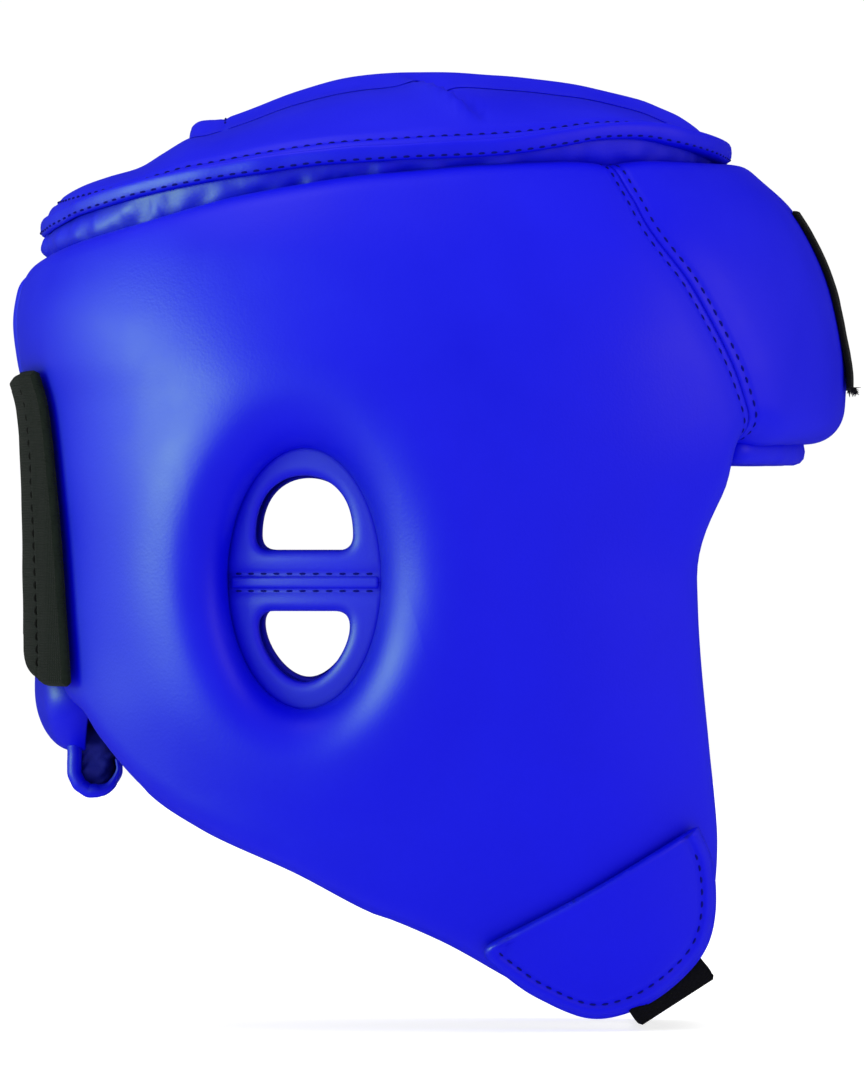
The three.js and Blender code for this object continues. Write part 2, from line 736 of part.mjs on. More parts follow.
// ---------- Nape pad in the gap between the rear edges of the side panels ----------
const NAPE = { bottom: -51, top: 84, clear: 2.2, edge: 9, underlap: 8, rollHalf: 22 };
const rearGapAt = through([
  [-51, 24],
  [-46, 32],
  [-36, 38],
  [-24, 36],
  [0, 20],
  [28, REAR_HALF_GAP],
  [93, REAR_HALF_GAP],
]);
const NAPE_COLUMNS = [-1, -0.8, -0.4, 0, 0.4, 0.8, 1];
const NAPE_ROWS = [0, 0.03, 0.09, 0.2, 0.35, 0.5, 0.65, 0.8, 0.91, 0.97, 1];
const napePlace = (extra) => (i, j) => {
  const z = mix(NAPE.bottom, NAPE.top, NAPE_ROWS[j]);
  const y = NAPE_COLUMNS[i] * (rearGapAt(z) + extra);
  return { t: Math.PI - Math.asin(signedPower(y / halfWidthAt(z), ROUNDNESS / 2)), z };
};
function napeDepths(t, z, i) {
  const fromSide = (1 - Math.abs(NAPE_COLUMNS[i])) * rearGapAt(z);
  const rise = roll(Math.min(fromSide, z - NAPE.bottom, NAPE.top - z), NAPE.edge);
  return { skin: (REAR_PAD * EDGE_DEPTH - LEATHER) * (1 - rise), inside: REAR_PAD + LINING };
}
const [napeColumns, napeRows] = [NAPE_COLUMNS.length - 1, NAPE_ROWS.length - 1];
const napePad = makePanel(napeColumns, napeRows, napePlace(-NAPE.clear), napeDepths);
const napeFoam = { top: foamTop, bottom: foamBottom, foam: true };
// The nape lining reaches under both side panels, where it is sewn.
const napeLining = onEnvelope(
  napeColumns,
  napeRows,
  napePlace(NAPE.underlap),
  -(REAR_PAD + 1.2 + LINING),
  LINING,
);

// The nape pad's rolled foot: a strip of leather curled forwards under the pad's bottom edge.
const napeRoll = (() => {
  const [cx, cz, rx, rz, thick] = [-60.2, -53.6, 7.4, 8.4, 2.2];
  const steps = 12;
  const at = (i, j, inner) => {
    const turn = mix(Math.PI * 1.02, Math.PI * 1.95, i / steps);
    const [a, b] = [rx - inner * thick, rz - inner * thick];
    const y = mix(-NAPE.rollHalf, NAPE.rollHalf, j / 2);
    return new THREE.Vector3(cx + a * Math.cos(turn), y, cz + b * Math.sin(turn));
  };
  return slab(
    steps,
    2,
    (i, j) => at(i, j, 0),
    (i, j) => at(i, j, 1),
  );
})();

// ---------- Rear strap ----------
// Sewn to the right side panel, it crosses the back of the head and grips the left panel.
const REAR_STRAP = { sewnEnd: -0.475, hinge: -0.29, freeEnd: 0.475, standOff: 2.9 };
const HINGE_HALF_GAP = 0.026; // radians of plan angle, about 2.5 mm
const strapTop = (share) => mix(58, 53, smooth(share));
const strapBottom = (share) => mix(-29, -12, smooth(share * 1.1));
function strapPlace(from, to, columns, rows, margin = 0) {
  return (i, j) => {
    const offset = mix(from, to, i / columns);
    const share = (offset - REAR_STRAP.sewnEnd) / (REAR_STRAP.freeEnd - REAR_STRAP.sewnEnd);
    const low = strapBottom(share) + margin;
    const high = strapTop(share) - margin;
    return { t: Math.PI - offset, z: mix(low, high, j / rows) };
  };
}
const [STRAP_ROWS, STRAP_COLUMNS] = [7, 10];
const strapStart = REAR_STRAP.hinge + HINGE_HALF_GAP;
const rearAnchor = onEnvelope(
  3,
  STRAP_ROWS,
  strapPlace(REAR_STRAP.sewnEnd, REAR_STRAP.hinge - HINGE_HALF_GAP, 3, STRAP_ROWS),
  REAR_STRAP.standOff,
  STRAP,
);
const rearStrap = onEnvelope(
  STRAP_COLUMNS,
  STRAP_ROWS,
  strapPlace(strapStart, REAR_STRAP.freeEnd, STRAP_COLUMNS, STRAP_ROWS),
  REAR_STRAP.standOff,
  STRAP,
);
const rearLoop = onSkin(5, STRAP_ROWS, strapPlace(0.26, 0.47, 5, STRAP_ROWS, 3), 0.6, HOOK, 1);
const rearHook = onEnvelope(5, STRAP_ROWS, strapPlace(0.22, 0.46, 5, STRAP_ROWS, 5), 1.7, HOOK);

// ---------- Chin strap ----------
// A D-shaped leather tab on each cheek and a webbing strap under the chin between them. The left tab
// is sewn down; the right tab peels off a patch of loop tape.
const chinTabEdges = {
  top: new THREE.SplineCurve([onSide(51, -102), onSide(80, -88.5), onSide(107, -71)]),
  left: new THREE.SplineCurve([onSide(51, -102), onSide(58, -111), onSide(70, -119)]),
  bottom: new THREE.SplineCurve([
    onSide(70, -119),
    onSide(80, -123.5),
    onSide(90, -120.5),
    onSide(101, -113.5),
    onSide(110, -107.5),
  ]),
  right: new THREE.SplineCurve([onSide(107, -71), onSide(115, -88), onSide(110, -107.5)]),
};
function chinPlace(columns, rows, side, margin = 0) {
  const { top, left, bottom, right } = chinTabEdges;
  return (i, j) => {
    const [u, v] = [mix(margin, 1 - margin, i / columns), mix(margin, 1 - margin, j / rows)];
    const [low, high] = [bottom.getPointAt(u), top.getPointAt(u)];
    const [start, end] = [left.getPointAt(1 - v), right.getPointAt(1 - v)];
    const corner = (key) =>
      mix(
        mix(bottom.getPointAt(0)[key], bottom.getPointAt(1)[key], u),
        mix(top.getPointAt(0)[key], top.getPointAt(1)[key], u),
        v,
      );
    const at = (key) => mix(low[key], high[key], v) + mix(start[key], end[key], u) - corner(key);
    return { t: (side * at("x")) / ANGLE_SCALE, z: at("y") };
  };
}
const TAB_FOLLOW = 0.35; // the tab is stiff, so it bridges most of the pad's rounded edge
const TAB_LIFT = 2.9;
const chinTab = onSkin(8, 7, chinPlace(8, 7, -1), TAB_LIFT, STRAP, TAB_FOLLOW);
const chinTabFixed = onSkin(8, 7, chinPlace(8, 7, 1), 0.7, STRAP, TAB_FOLLOW);
const chinLoop = onSkin(5, 4, chinPlace(5, 4, -1, 0.2), 0.6, HOOK, 1);
const chinHook = onSkin(5, 4, chinPlace(5, 4, -1, 0.24), 1.75, HOOK, TAB_FOLLOW);

// The strap crosses under the chin with its width along the foot of the cheek, rising forwards.
// STRAP_SPAN is its half length along its rear and front edges, as the cheeks close in forwards.
const CHIN_STRAP = { x: 104, z: -120.2, halfWidth: 12.5, slope: 0.56 };
const STRAP_SPAN = { rear: 53, front: 42 };
const strapWay = new THREE.Vector3(Math.cos(CHIN_STRAP.slope), 0, Math.sin(CHIN_STRAP.slope));
const strapDown = new THREE.Vector3(Math.sin(CHIN_STRAP.slope), 0, -Math.cos(CHIN_STRAP.slope));
// Each stop of the strap's way under the chin: the share of its half length, how far it lies below
// the strap's lowest line, and which way its thickness points, from 0 sideways to 1 downwards.
const strapStops = [
  [0, 0, 1],
  [0.45, 0, 1],
  [0.8, 0.3, 1],
  [0.94, 0.8, 0.75],
  [1, 1.7, 0.4],
  [1.02, 2.8, 0],
];
const chinStrap = (() => {
  const stops = [...strapStops.slice(1).map(([s, ...rest]) => [-s, ...rest]).reverse(), ...strapStops];
  const at = (i, j, inner) => {
    const [share, up, down] = stops[i];
    const across = j / 2;
    const y = share * mix(STRAP_SPAN.rear, STRAP_SPAN.front, across);
    const inwards = new THREE.Vector3(0, Math.sign(-share) * (1 - down), 0).addScaledVector(
      strapDown,
      -down,
    );
    return new THREE.Vector3(CHIN_STRAP.x, y, CHIN_STRAP.z)
      .addScaledVector(strapDown, -up)
      .addScaledVector(strapWay, (2 * across - 1) * CHIN_STRAP.halfWidth)
      .addScaledVector(inwards.normalize(), inner * STRAP);
  };
  return slab(
    stops.length - 1,
    2,
    (i, j) => at(i, j, 0),
    (i, j) => at(i, j, 1),
  );
})();

// ---------- Assembly ----------
const paint = (color, roughness) =>
  new THREE.MeshStandardMaterial({ color, roughness, metalness: 0 });
const blueLeather = paint(0x1414e1, 0.45);
const blueLining = paint(0x1a1f8c, 0.85);
const firmFoam = paint(0xd9d4c4, 0.9);
const softFoam = paint(0x6f7378, 0.95);
const blackWeb = paint(0x2f3a30, 0.9);
const blackTape = paint(0x17191a, 0.95);

const headgear = new THREE.Group();
function add(name, geometry, material, mirrored = false) {
  const mesh = new THREE.Mesh(geometry, material);
  mesh.name = name;
  if (mirrored) mesh.scale.y = -1;
  headgear.add(mesh);
}
const layerPaint = {
  cover: blueLeather,
  outer_foam: firmFoam,
  inner_foam: softFoam,
  lining: blueLining,
};
for (const [name, layer] of Object.entries(LAYERS)) {
  add(`forehead_${name}`, panelLayer(foreheadPanel, layer), layerPaint[name]);
  add(`side_${name}_left`, sideLayers[name], layerPaint[name]);
  add(`side_${name}_right`, sideLayers[name], layerPaint[name], true);
}
for (const half of ["upper", "lower"]) {
  add(`ear_guard_${half}_left`, earGuards[half], blueLeather);
  add(`ear_guard_${half}_right`, earGuards[half], blueLeather, true);
}
add("ear_seam_tape_left", earTape, blueLining);
add("ear_seam_tape_right", earTape, blueLining, true);
add("forehead_patch", foreheadPatch, blackTape);
add("brow_hem", browHem, blueLeather);
add("crown_cover", crownCover, blueLeather);
add("crown_foam", crownFoam, softFoam);
add("crown_lining", crownLining, blueLining);
add("crown_hem", crownHem, blueLeather);
add("crown_band", crownBand, blueLeather);
add("crown_flap", crownFlap, blueLeather);
add("crown_flap_anchor", flapAnchor, blueLeather);
add("crown_flap_hook", flapHook, blackTape);
add("crown_loop", crownLoop, blackTape);
add("nape_cover", panelLayer(napePad, LAYERS.cover), blueLeather);
add("nape_foam", panelLayer(napePad, napeFoam), softFoam);
add("nape_lining", napeLining, blueLining);
add("nape_roll", napeRoll, blueLeather);
add("rear_strap_anchor", rearAnchor, blackWeb);
add("rear_strap", rearStrap, blackWeb);
add("rear_hook", rearHook, blackTape);
add("rear_loop", rearLoop, blackTape);
add("chin_tab", chinTab, blueLeather);
add("chin_hook", chinHook, blackTape);
add("chin_loop", chinLoop, blackTape);
add("chin_strap", chinStrap, blackWeb);
add("chin_strap_anchor", chinTabFixed, blueLeather);

export default headgear;
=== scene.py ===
# Looks of the boxing headgear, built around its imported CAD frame. Shapes are worked out in
# millimetres in the part's own frame (+X the way the wearer looks, +Y the wearer's left, +Z up,
# origin midway between the ears) and turned into metres as each mesh is made.
import json
import math

import bpy
import numpy as np
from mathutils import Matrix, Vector, noise

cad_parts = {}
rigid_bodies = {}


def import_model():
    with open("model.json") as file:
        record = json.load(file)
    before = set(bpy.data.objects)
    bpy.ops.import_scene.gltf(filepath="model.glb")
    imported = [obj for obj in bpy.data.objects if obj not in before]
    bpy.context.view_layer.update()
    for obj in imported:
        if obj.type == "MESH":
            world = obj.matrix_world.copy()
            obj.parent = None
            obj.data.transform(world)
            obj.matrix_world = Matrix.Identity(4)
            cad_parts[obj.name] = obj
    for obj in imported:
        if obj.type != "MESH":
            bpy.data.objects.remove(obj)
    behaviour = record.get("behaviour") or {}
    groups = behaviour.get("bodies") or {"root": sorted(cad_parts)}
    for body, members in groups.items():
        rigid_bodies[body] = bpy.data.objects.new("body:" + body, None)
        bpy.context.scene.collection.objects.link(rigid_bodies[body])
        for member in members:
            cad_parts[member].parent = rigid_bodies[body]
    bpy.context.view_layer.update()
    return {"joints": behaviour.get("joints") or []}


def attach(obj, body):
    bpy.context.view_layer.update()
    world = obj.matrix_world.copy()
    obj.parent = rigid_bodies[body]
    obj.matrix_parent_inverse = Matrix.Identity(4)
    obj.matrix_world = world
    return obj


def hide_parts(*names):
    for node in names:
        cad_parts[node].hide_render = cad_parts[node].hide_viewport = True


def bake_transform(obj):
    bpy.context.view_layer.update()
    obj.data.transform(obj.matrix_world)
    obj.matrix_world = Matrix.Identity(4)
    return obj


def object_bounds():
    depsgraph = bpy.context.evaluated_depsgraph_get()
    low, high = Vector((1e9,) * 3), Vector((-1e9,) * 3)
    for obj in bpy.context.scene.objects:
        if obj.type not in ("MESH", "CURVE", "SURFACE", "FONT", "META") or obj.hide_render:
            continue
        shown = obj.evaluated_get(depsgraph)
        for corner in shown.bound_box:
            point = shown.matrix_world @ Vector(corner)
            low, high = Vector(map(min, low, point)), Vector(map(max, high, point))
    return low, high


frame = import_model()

MM = 0.001
PHOTO_SIZE = (864, 1080)

# ---------- Driving dimensions: the CAD's, or within a few millimetres of them ----------
LEATHER = 1.4  # thickness of the covers
LINING = 1.2
SIDE_PAD, FRONT_PAD, REAR_PAD = 21, 28, 18  # pad thickness over the sides, the forehead and the back
EDGE_DEPTH = 0.68  # where in the pad's thickness the sewn edge lies, 1 being the lining
HEAD_X = 20  # where the shell is widest
ROUNDNESS = 2.3  # exponent of the plan section: 2 is an ellipse, more is squarer
EAR_RX, EAR_RZ = 21.3, 36.3  # half sizes of the ear opening
EAR_SEAT = 16  # depth of the bowl round it
BOWL_WIDTH = 17
EAR_SEAM_Z = -1  # where the ear guard's halves meet
FOREHEAD_BOTTOM = 33.4
CROWN_X, CROWN_HALF_LENGTH, CROWN_HALF_WIDTH = 20.2, 94.3, 76
CROWN_PAD, CROWN_RIM = 14, 3.2  # the crown's thickness in the middle and at its rim
STRAP = 1.9  # thickness of a strap
TAPE = 0.8  # thickness of hook tape and loop tape
STITCH_PITCH = 3.5

SIDES = {"left": np.array([1, 1, 1]), "right": np.array([1, -1, 1])}  # what turns a left point to each
JOINTS = {joint["name"]: np.array(joint["pos_m"]) / MM for joint in frame["joints"]}


# ---------- Small maths ----------
def mix(a, b, share):
    return a + (b - a) * share


def smooth(x):
    s = np.clip(x, 0, 1)
    return s * s * (3 - 2 * s)


def bell(x, width):
    return np.exp(-((x / width) ** 2))


def signed_power(x, power):
    return np.sign(x) * np.abs(x) ** power


def unit(v):
    return v / np.maximum(np.linalg.norm(v, axis=-1, keepdims=True), 1e-9)


def xyz(x, y, z):
    """Points from their coordinates, each an array or one number."""
    return np.stack(np.broadcast_arrays(x, y, z), -1) * 1.0


def upright(points):
    """The direction straight up, once for each point."""
    return np.broadcast_to([0.0, 0.0, 1.0], points.shape)


def grid(across, along):
    return np.meshgrid(across, along, indexing="ij")


def through(pairs):
    """A smooth function through [input, value] pairs, level beyond the ends."""
    xs, ys = np.array(pairs, float).T
    rise = np.gradient(ys)
    rise[1:-1] = (ys[2:] - ys[:-2]) / (xs[2:] - xs[:-2])
    rise[0] = (ys[1] - ys[0]) / (xs[1] - xs[0])
    rise[-1] = (ys[-1] - ys[-2]) / (xs[-1] - xs[-2])

    def value(x):
        x = np.clip(x, xs[0], xs[-1])
        i = np.clip(np.searchsorted(xs, x, side="right") - 1, 0, len(xs) - 2)
        width = xs[i + 1] - xs[i]
        s = (x - xs[i]) / width
        bend = s * (1 - s) * width
        level = mix(ys[i], ys[i + 1], s * s * (3 - 2 * s))
        return level + bend * (1 - s) * rise[i] - bend * s * rise[i + 1]

    return value


def roll(distance, radius):
    """The rounded edge of a pad: 0 at the sewn edge, 1 from one radius in."""
    s = np.clip(distance / radius, 0, 1)
    return (1 - (1 - s) ** 2.2) ** (1 / 2.2)


def curve_through(points):
    """A smooth curve through points of any dimension, read at shares of its length."""
    p = np.array(points, float)
    padded = np.vstack([2 * p[0] - p[1], p, 2 * p[-1] - p[-2]])
    s = np.linspace(0, len(p) - 1, 400)
    i = np.minimum(s.astype(int), len(p) - 2)
    f = (s - i)[:, None]
    a, b, c, d = (padded[i + k] for k in range(4))
    square, cube = 2 * a - 5 * b + 4 * c - d, 3 * b - a - 3 * c + d
    track = 0.5 * (2 * b + (c - a) * f + square * f**2 + cube * f**3)
    length = np.concatenate([[0], np.cumsum(np.linalg.norm(np.diff(track, axis=0), axis=1))])

    def at(share):
        where = np.clip(share, 0, 1) * length[-1]
        return np.stack([np.interp(where, length, track[:, k]) for k in range(p.shape[1])], -1)

    return at


def bezier(*points):
    """A Bezier curve in the side view, without its last point."""
    share = np.linspace(0, 1, 28, endpoint=False)[:, None]
    levels = [np.array([p], float) for p in points]
    while len(levels) > 1:
        levels = [mix(a, b, share) for a, b in zip(levels, levels[1:])]
    return levels[0]


def beside(track, distance):
    """A track of (across, up) places, moved sideways by a distance."""
    along = np.gradient(track, axis=0)
    across = np.stack([-along[:, 1], along[:, 0]], -1)
    return track + unit(across) * distance


def nearest(points, line):
    """The distance from each point to the nearest of a line's closely spaced points."""
    flat = points.reshape(-1, 3)
    best = np.empty(len(flat))
    for start in range(0, len(flat), 4000):
        part = flat[start : start + 4000]
        squared = (part**2).sum(1)[:, None] + (line**2).sum(1)[None] - 2 * part @ line.T
        best[start : start + 4000] = np.sqrt(np.maximum(squared.min(1), 0))
    return best.reshape(points.shape[:-1])


def closer_at_ends(count, amount=0.62):
    x = np.linspace(0, 1, count)
    return x - amount * np.sin(2 * np.pi * x) / (2 * np.pi)


def runs(*parts):
    """One run of values through several parts, each (start, end, count) with even steps."""
    return np.concatenate([np.linspace(*part, endpoint=part is parts[-1]) for part in parts])


def disc_grid(count):
    """Rings (0 to 1) and angles of a grid that is square in the middle and round at its rim."""
    line = closer_at_ends(count, 0.7) * 2 - 1
    a, b = grid(line, line)
    a, b = a + 1e-9, b + 2e-9
    wide = np.abs(a) > np.abs(b)
    angle = np.where(wide, np.pi / 4 * b / a + np.pi * (a < 0), np.pi / 2 * np.sign(b) - np.pi / 4 * a / b)
    return np.where(wide, np.abs(a), np.abs(b)), angle


def bumps(points, scale):
    """Smooth noise, about -1 to 1, at points in mm. scale is the size of one bump in mm."""
    flat = (points / scale).reshape(-1, 3)
    return np.array([noise.noise(Vector(p)) for p in flat]).reshape(points.shape[:-1])


# ---------- Mesh making ----------
def vertex_normals(verts, faces):
    corners = verts[faces]
    normal = np.cross(corners[:, 2] - corners[:, 0], corners[:, 3] - corners[:, 1])
    total = np.zeros_like(verts)
    for k in range(4):
        np.add.at(total, faces[:, k], normal)
    return unit(total)


def open_edges(faces):
    """The edges that only one face uses, each in that face's own direction."""
    edges = np.vstack([faces[:, [k, (k + 1) % 4]] for k in range(4)])
    key = np.sort(edges, axis=1)
    _, first, count = np.unique(key, axis=0, return_index=True, return_counts=True)
    return edges[first[count == 1]]


def thicken(verts, faces, thickness, round_edge=True, back=None):
    """A closed sheet: the given face, and one a thickness behind it, joined by a rounded rim."""
    if back is None:
        back = verts - vertex_normals(verts, faces) * np.reshape(thickness, (-1, 1))
    through_sheet = unit(verts - back)
    count = len(verts)
    edges = open_edges(faces)
    rim_verts = []
    rim_faces = []
    if len(edges):
        out = np.zeros_like(verts)
        along = unit(verts[edges[:, 1]] - verts[edges[:, 0]])
        for k in range(2):
            np.add.at(out, edges[:, k], np.cross(along, through_sheet[edges[:, k]]))
        rim = np.unique(edges)
        bulge = 0.4 * np.reshape(thickness, (-1, 1)) if round_edge else 0
        middle = (verts + back) / 2 + unit(out) * bulge
        where = {v: 2 * count + n for n, v in enumerate(rim)}
        rim_verts = middle[rim]
        for a, b in edges:
            rim_faces.append((b, a, where[a], where[b]))
            rim_faces.append((where[b], where[a], a + count, b + count))
    every_vert = np.vstack([verts, back, rim_verts]) if len(edges) else np.vstack([verts, back])
    every_face = [tuple(f) for f in faces] + [tuple(f[::-1] + count) for f in faces] + rim_faces
    return every_vert, every_face


def add_mesh(name, verts, faces, look, body, *nodes):
    """A piece in one look that rides on a body and stands for the named CAD nodes."""
    mesh = bpy.data.meshes.new(name)
    mesh.from_pydata((np.asarray(verts) * MM).tolist(), [], [[int(i) for i in f] for f in faces])
    mesh.validate()
    mesh.shade_smooth()
    mesh.materials.append(look)
    piece = bpy.data.objects.new(name, mesh)
    bpy.context.scene.collection.objects.link(piece)
    if body:
        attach(piece, body)
    if nodes:
        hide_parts(*nodes)
    return piece


def grid_faces(columns, rows, closed=False, tube=False):
    """Faces of a grid of points. closed joins its last column to the first, tube its last row."""
    i, j = grid(np.arange(columns if closed else columns - 1), np.arange(rows if tube else rows - 1))
    k, m = (i + 1) % columns, (j + 1) % rows
    return np.stack([i * rows + j, k * rows + j, k * rows + m, i * rows + m], -1).reshape(-1, 4)


def facing_out(verts, faces, centre):
    """Turns the faces round if they look towards the centre."""
    corners = verts[faces]
    normal = np.cross(corners[:, 2] - corners[:, 0], corners[:, 3] - corners[:, 1])
    outwards = corners.mean(1) - np.array(centre, float)
    return faces if (normal * outwards).sum() > 0 else faces[:, ::-1]


def sided(side, verts, faces):
    """A mesh that was made for the left side, mirrored if it is for the right."""
    return verts * SIDES[side], faces if side == "left" else faces[:, ::-1]


def tube_faces(base, rings, sides):
    """Faces of a tube of rings of points that start at index base, with both its ends covered."""
    faces = []
    for n in range(rings - 1):
        for k in range(sides):
            a, b = base + n * sides + k, base + n * sides + (k + 1) % sides
            faces.append((a, b, b + sides, a + sides))
    last = base + (rings - 1) * sides
    return faces + [tuple(range(base, base + sides))[::-1], tuple(range(last, last + sides))]


def stitches(name, rows, look, body, length=2.1, radius=0.3):
    """Short raised threads. Each row is (points, normals) along its seam, at close spacing."""
    rings, sides = 5, 6
    verts = []
    faces = []
    for points, normals in rows:
        steps = np.linalg.norm(np.diff(points, axis=0), axis=1)
        run = np.concatenate([[0], np.cumsum(steps)])
        count = max(1, int(run[-1] / STITCH_PITCH))
        starts = (np.arange(count) + 0.5) * run[-1] / count
        for start in starts:
            where = start + np.linspace(-0.5, 0.5, rings) * length
            middle = np.stack([np.interp(where, run, points[:, k]) for k in range(3)], -1)
            up = unit(np.array([np.interp(start, run, normals[:, k]) for k in range(3)]))
            along = unit(middle[-1] - middle[0])
            across = np.cross(along, up)
            faces += tube_faces(len(verts), rings, sides)
            for n, place in enumerate(middle):
                share = 2 * n / (rings - 1) - 1
                thick = radius * (1 - 0.45 * share**4)
                centre = place + up * radius * (0.55 - 1.1 * share**2)
                for k in range(sides):
                    turn = 2 * math.pi * k / sides
                    verts.append(centre + thick * (math.cos(turn) * across + math.sin(turn) * up))
    return add_mesh(name, np.array(verts), faces, look, body)


def panel(name, points, thickness, look, body, *nodes, centre=(HEAD_X, 0, 0), face_in=False, back=None):
    """A closed sheet from a grid of points on its outer face, shaped (columns, rows, 3)."""
    columns, rows = points.shape[:2]
    verts = points.reshape(-1, 3)
    faces = facing_out(verts, grid_faces(columns, rows), centre)
    if face_in:
        faces = faces[:, ::-1]
    thickness = np.broadcast_to(thickness, (columns, rows)).reshape(-1)
    if back is not None:
        back = back.reshape(-1, 3)
    return add_mesh(name, *thicken(verts, faces, thickness, back=back), look, body, *nodes)


def bead(name, path, half_wide, half_tall, look, body, *nodes, closed=False, sides=14):
    """A rounded strip along a path of (centre, outwards, up) arrays, with the ends drawn in."""
    centre, outwards, up = path
    count = len(centre)
    turn = 2 * np.pi * np.arange(sides) / sides
    taper = np.ones(count)
    if not closed:
        share = np.linspace(0, 1, count)
        taper = roll(np.minimum(share, 1 - share), 0.05)
    wide = (np.broadcast_to(half_wide, count) * taper)[:, None, None]
    tall = (np.broadcast_to(half_tall, count) * taper)[:, None, None]
    wide = wide * signed_power(np.cos(turn), 0.8)[:, None]
    tall = tall * signed_power(np.sin(turn), 0.8)[:, None]
    verts = centre[:, None] + wide * outwards[:, None] + tall * up[:, None]
    faces = [tuple(f) for f in grid_faces(count, sides, closed, tube=True)]
    if not closed:
        faces += [tuple(range(sides)), tuple(range((count - 1) * sides, count * sides))[::-1]]
    verts = verts.reshape(-1, 3)
    corners = verts[[f[:3] for f in faces]]
    facing = np.cross(corners[:, 1] - corners[:, 0], corners[:, 2] - corners[:, 0])
    middle = np.repeat(centre, sides, axis=0)[[f[0] for f in faces]]
    if ((corners.mean(1) - middle) * facing).sum() < 0:
        faces = [f[::-1] for f in faces]
    return add_mesh(name, verts, faces, look, body, *nodes)


TUFT_SPREAD = 0.7


def tufts(name, starts, outwards, downs, look, body, seed, length):
    """Loose fibres: thin tapering hairs, each from a start, between its outward and down directions."""
    random = np.random.default_rng(seed)
    verts = []
    faces = []
    for start, outward, down in zip(starts, outwards, downs):
        lean = random.normal(0, TUFT_SPREAD, 3)
        way = unit(down + 0.5 * outward + 0.6 * lean)
        bend = unit(np.cross(way, lean))
        side = np.cross(way, bend)
        reach = length * random.uniform(0.5, 1.0)
        faces += tube_faces(len(verts), 4, 3)
        for n in range(4):
            place = start + way * reach * n / 3 + bend * reach * 0.25 * (n / 3) ** 2
            thick = 0.28 * (1 - 0.8 * n / 3)
            verts += [place + thick * bend, place + thick * side, place - thick * (bend + side) / 1.4]
    return add_mesh(name, np.array(verts), faces, look, body)


# ---------- Materials ----------
def material(name, colour, roughness, specular):
    made = bpy.data.materials.new(name)
    made.use_nodes = True
    shader = made.node_tree.nodes["Principled BSDF"]
    shader.inputs["Base Color"].default_value = (*colour, 1)
    shader.inputs["Roughness"].default_value = roughness
    shader.inputs["Specular IOR Level"].default_value = specular
    return made, made.node_tree, shader


def node(tree, kind, **inputs):
    made = tree.nodes.new(kind)
    for key, value in inputs.items():
        made.inputs[key.replace("_", " ")].default_value = value
    return made


def object_coordinates(tree):
    return tree.nodes.new("ShaderNodeTexCoord").outputs["Object"]


def texture(tree, place, kind, **inputs):
    made = node(tree, kind, **inputs)
    tree.links.new(place, made.inputs["Vector"])
    return made


def combined(tree, operation, first, second):
    """The sum or product, say, of two outputs."""
    made = tree.nodes.new("ShaderNodeMath")
    made.operation = operation
    tree.links.new(first, made.inputs[0])
    tree.links.new(second, made.inputs[1])
    return made.outputs[0]


def raise_surface(tree, shader, height, strength, distance):
    bump = node(tree, "ShaderNodeBump", Strength=strength, Distance=distance)
    tree.links.new(height, bump.inputs["Height"])
    tree.links.new(bump.outputs["Normal"], shader.inputs["Normal"])


def colour_between(tree, factor, dark, light):
    ramp = tree.nodes.new("ShaderNodeMix")
    ramp.data_type = "RGBA"
    ramp.inputs[6].default_value = (*dark, 1)
    ramp.inputs[7].default_value = (*light, 1)
    tree.links.new(factor, ramp.inputs[0])
    return ramp.outputs[2]


def leather(name, dark, light, rough_low, rough_high, grain, specular):
    """Smooth coated leather: pebbled grain, faint large unevenness and a slightly cloudy gloss."""
    made, tree, shader = material(name, light, rough_high, specular)
    place = object_coordinates(tree)
    cloud = texture(tree, place, "ShaderNodeTexNoise", Scale=22.0, Detail=4.0, Roughness=0.55)
    tree.links.new(colour_between(tree, cloud.outputs["Fac"], dark, light), shader.inputs["Base Color"])
    gloss = node(tree, "ShaderNodeMapRange", From_Min=0.3, From_Max=0.7, To_Min=rough_low, To_Max=rough_high)
    tree.links.new(cloud.outputs["Fac"], gloss.inputs["Value"])
    tree.links.new(gloss.outputs["Result"], shader.inputs["Roughness"])
    cells = texture(tree, place, "ShaderNodeTexVoronoi", Scale=1500.0)
    cells.feature = "SMOOTH_F1"
    pores = texture(tree, place, "ShaderNodeTexNoise", Scale=800.0, Detail=3.0, Roughness=0.6)
    height = combined(tree, "ADD", cells.outputs["Distance"], pores.outputs["Fac"])
    raise_surface(tree, shader, height, grain, 0.0001)
    return made


def weave(name, dark, light, threads_per_m, depth=0.0003, roughness=0.85, sheen=0.03):
    """Woven tape: ribs one way and finer picks the other, with fuzz in the colour."""
    made, tree, shader = material(name, light, roughness, 0.06)
    place = object_coordinates(tree)
    ribs = texture(tree, place, "ShaderNodeTexWave", Scale=threads_per_m, Distortion=0.6, Detail=1.0)
    ribs.bands_direction = "Z"
    picks = texture(tree, place, "ShaderNodeTexWave", Scale=threads_per_m * 0.7, Distortion=0.8, Detail=1.0)
    picks.bands_direction = "Y"
    fuzz = texture(tree, place, "ShaderNodeTexNoise", Scale=900.0, Detail=4.0, Roughness=0.7)
    crossed = combined(tree, "MULTIPLY", ribs.outputs["Fac"], picks.outputs["Fac"])
    tree.links.new(colour_between(tree, fuzz.outputs["Fac"], dark, light), shader.inputs["Base Color"])
    raise_surface(tree, shader, combined(tree, "ADD", crossed, fuzz.outputs["Fac"]), 0.7, depth)
    shader.inputs["Sheen Weight"].default_value = sheen
    shader.inputs["Sheen Roughness"].default_value = 0.5
    return made


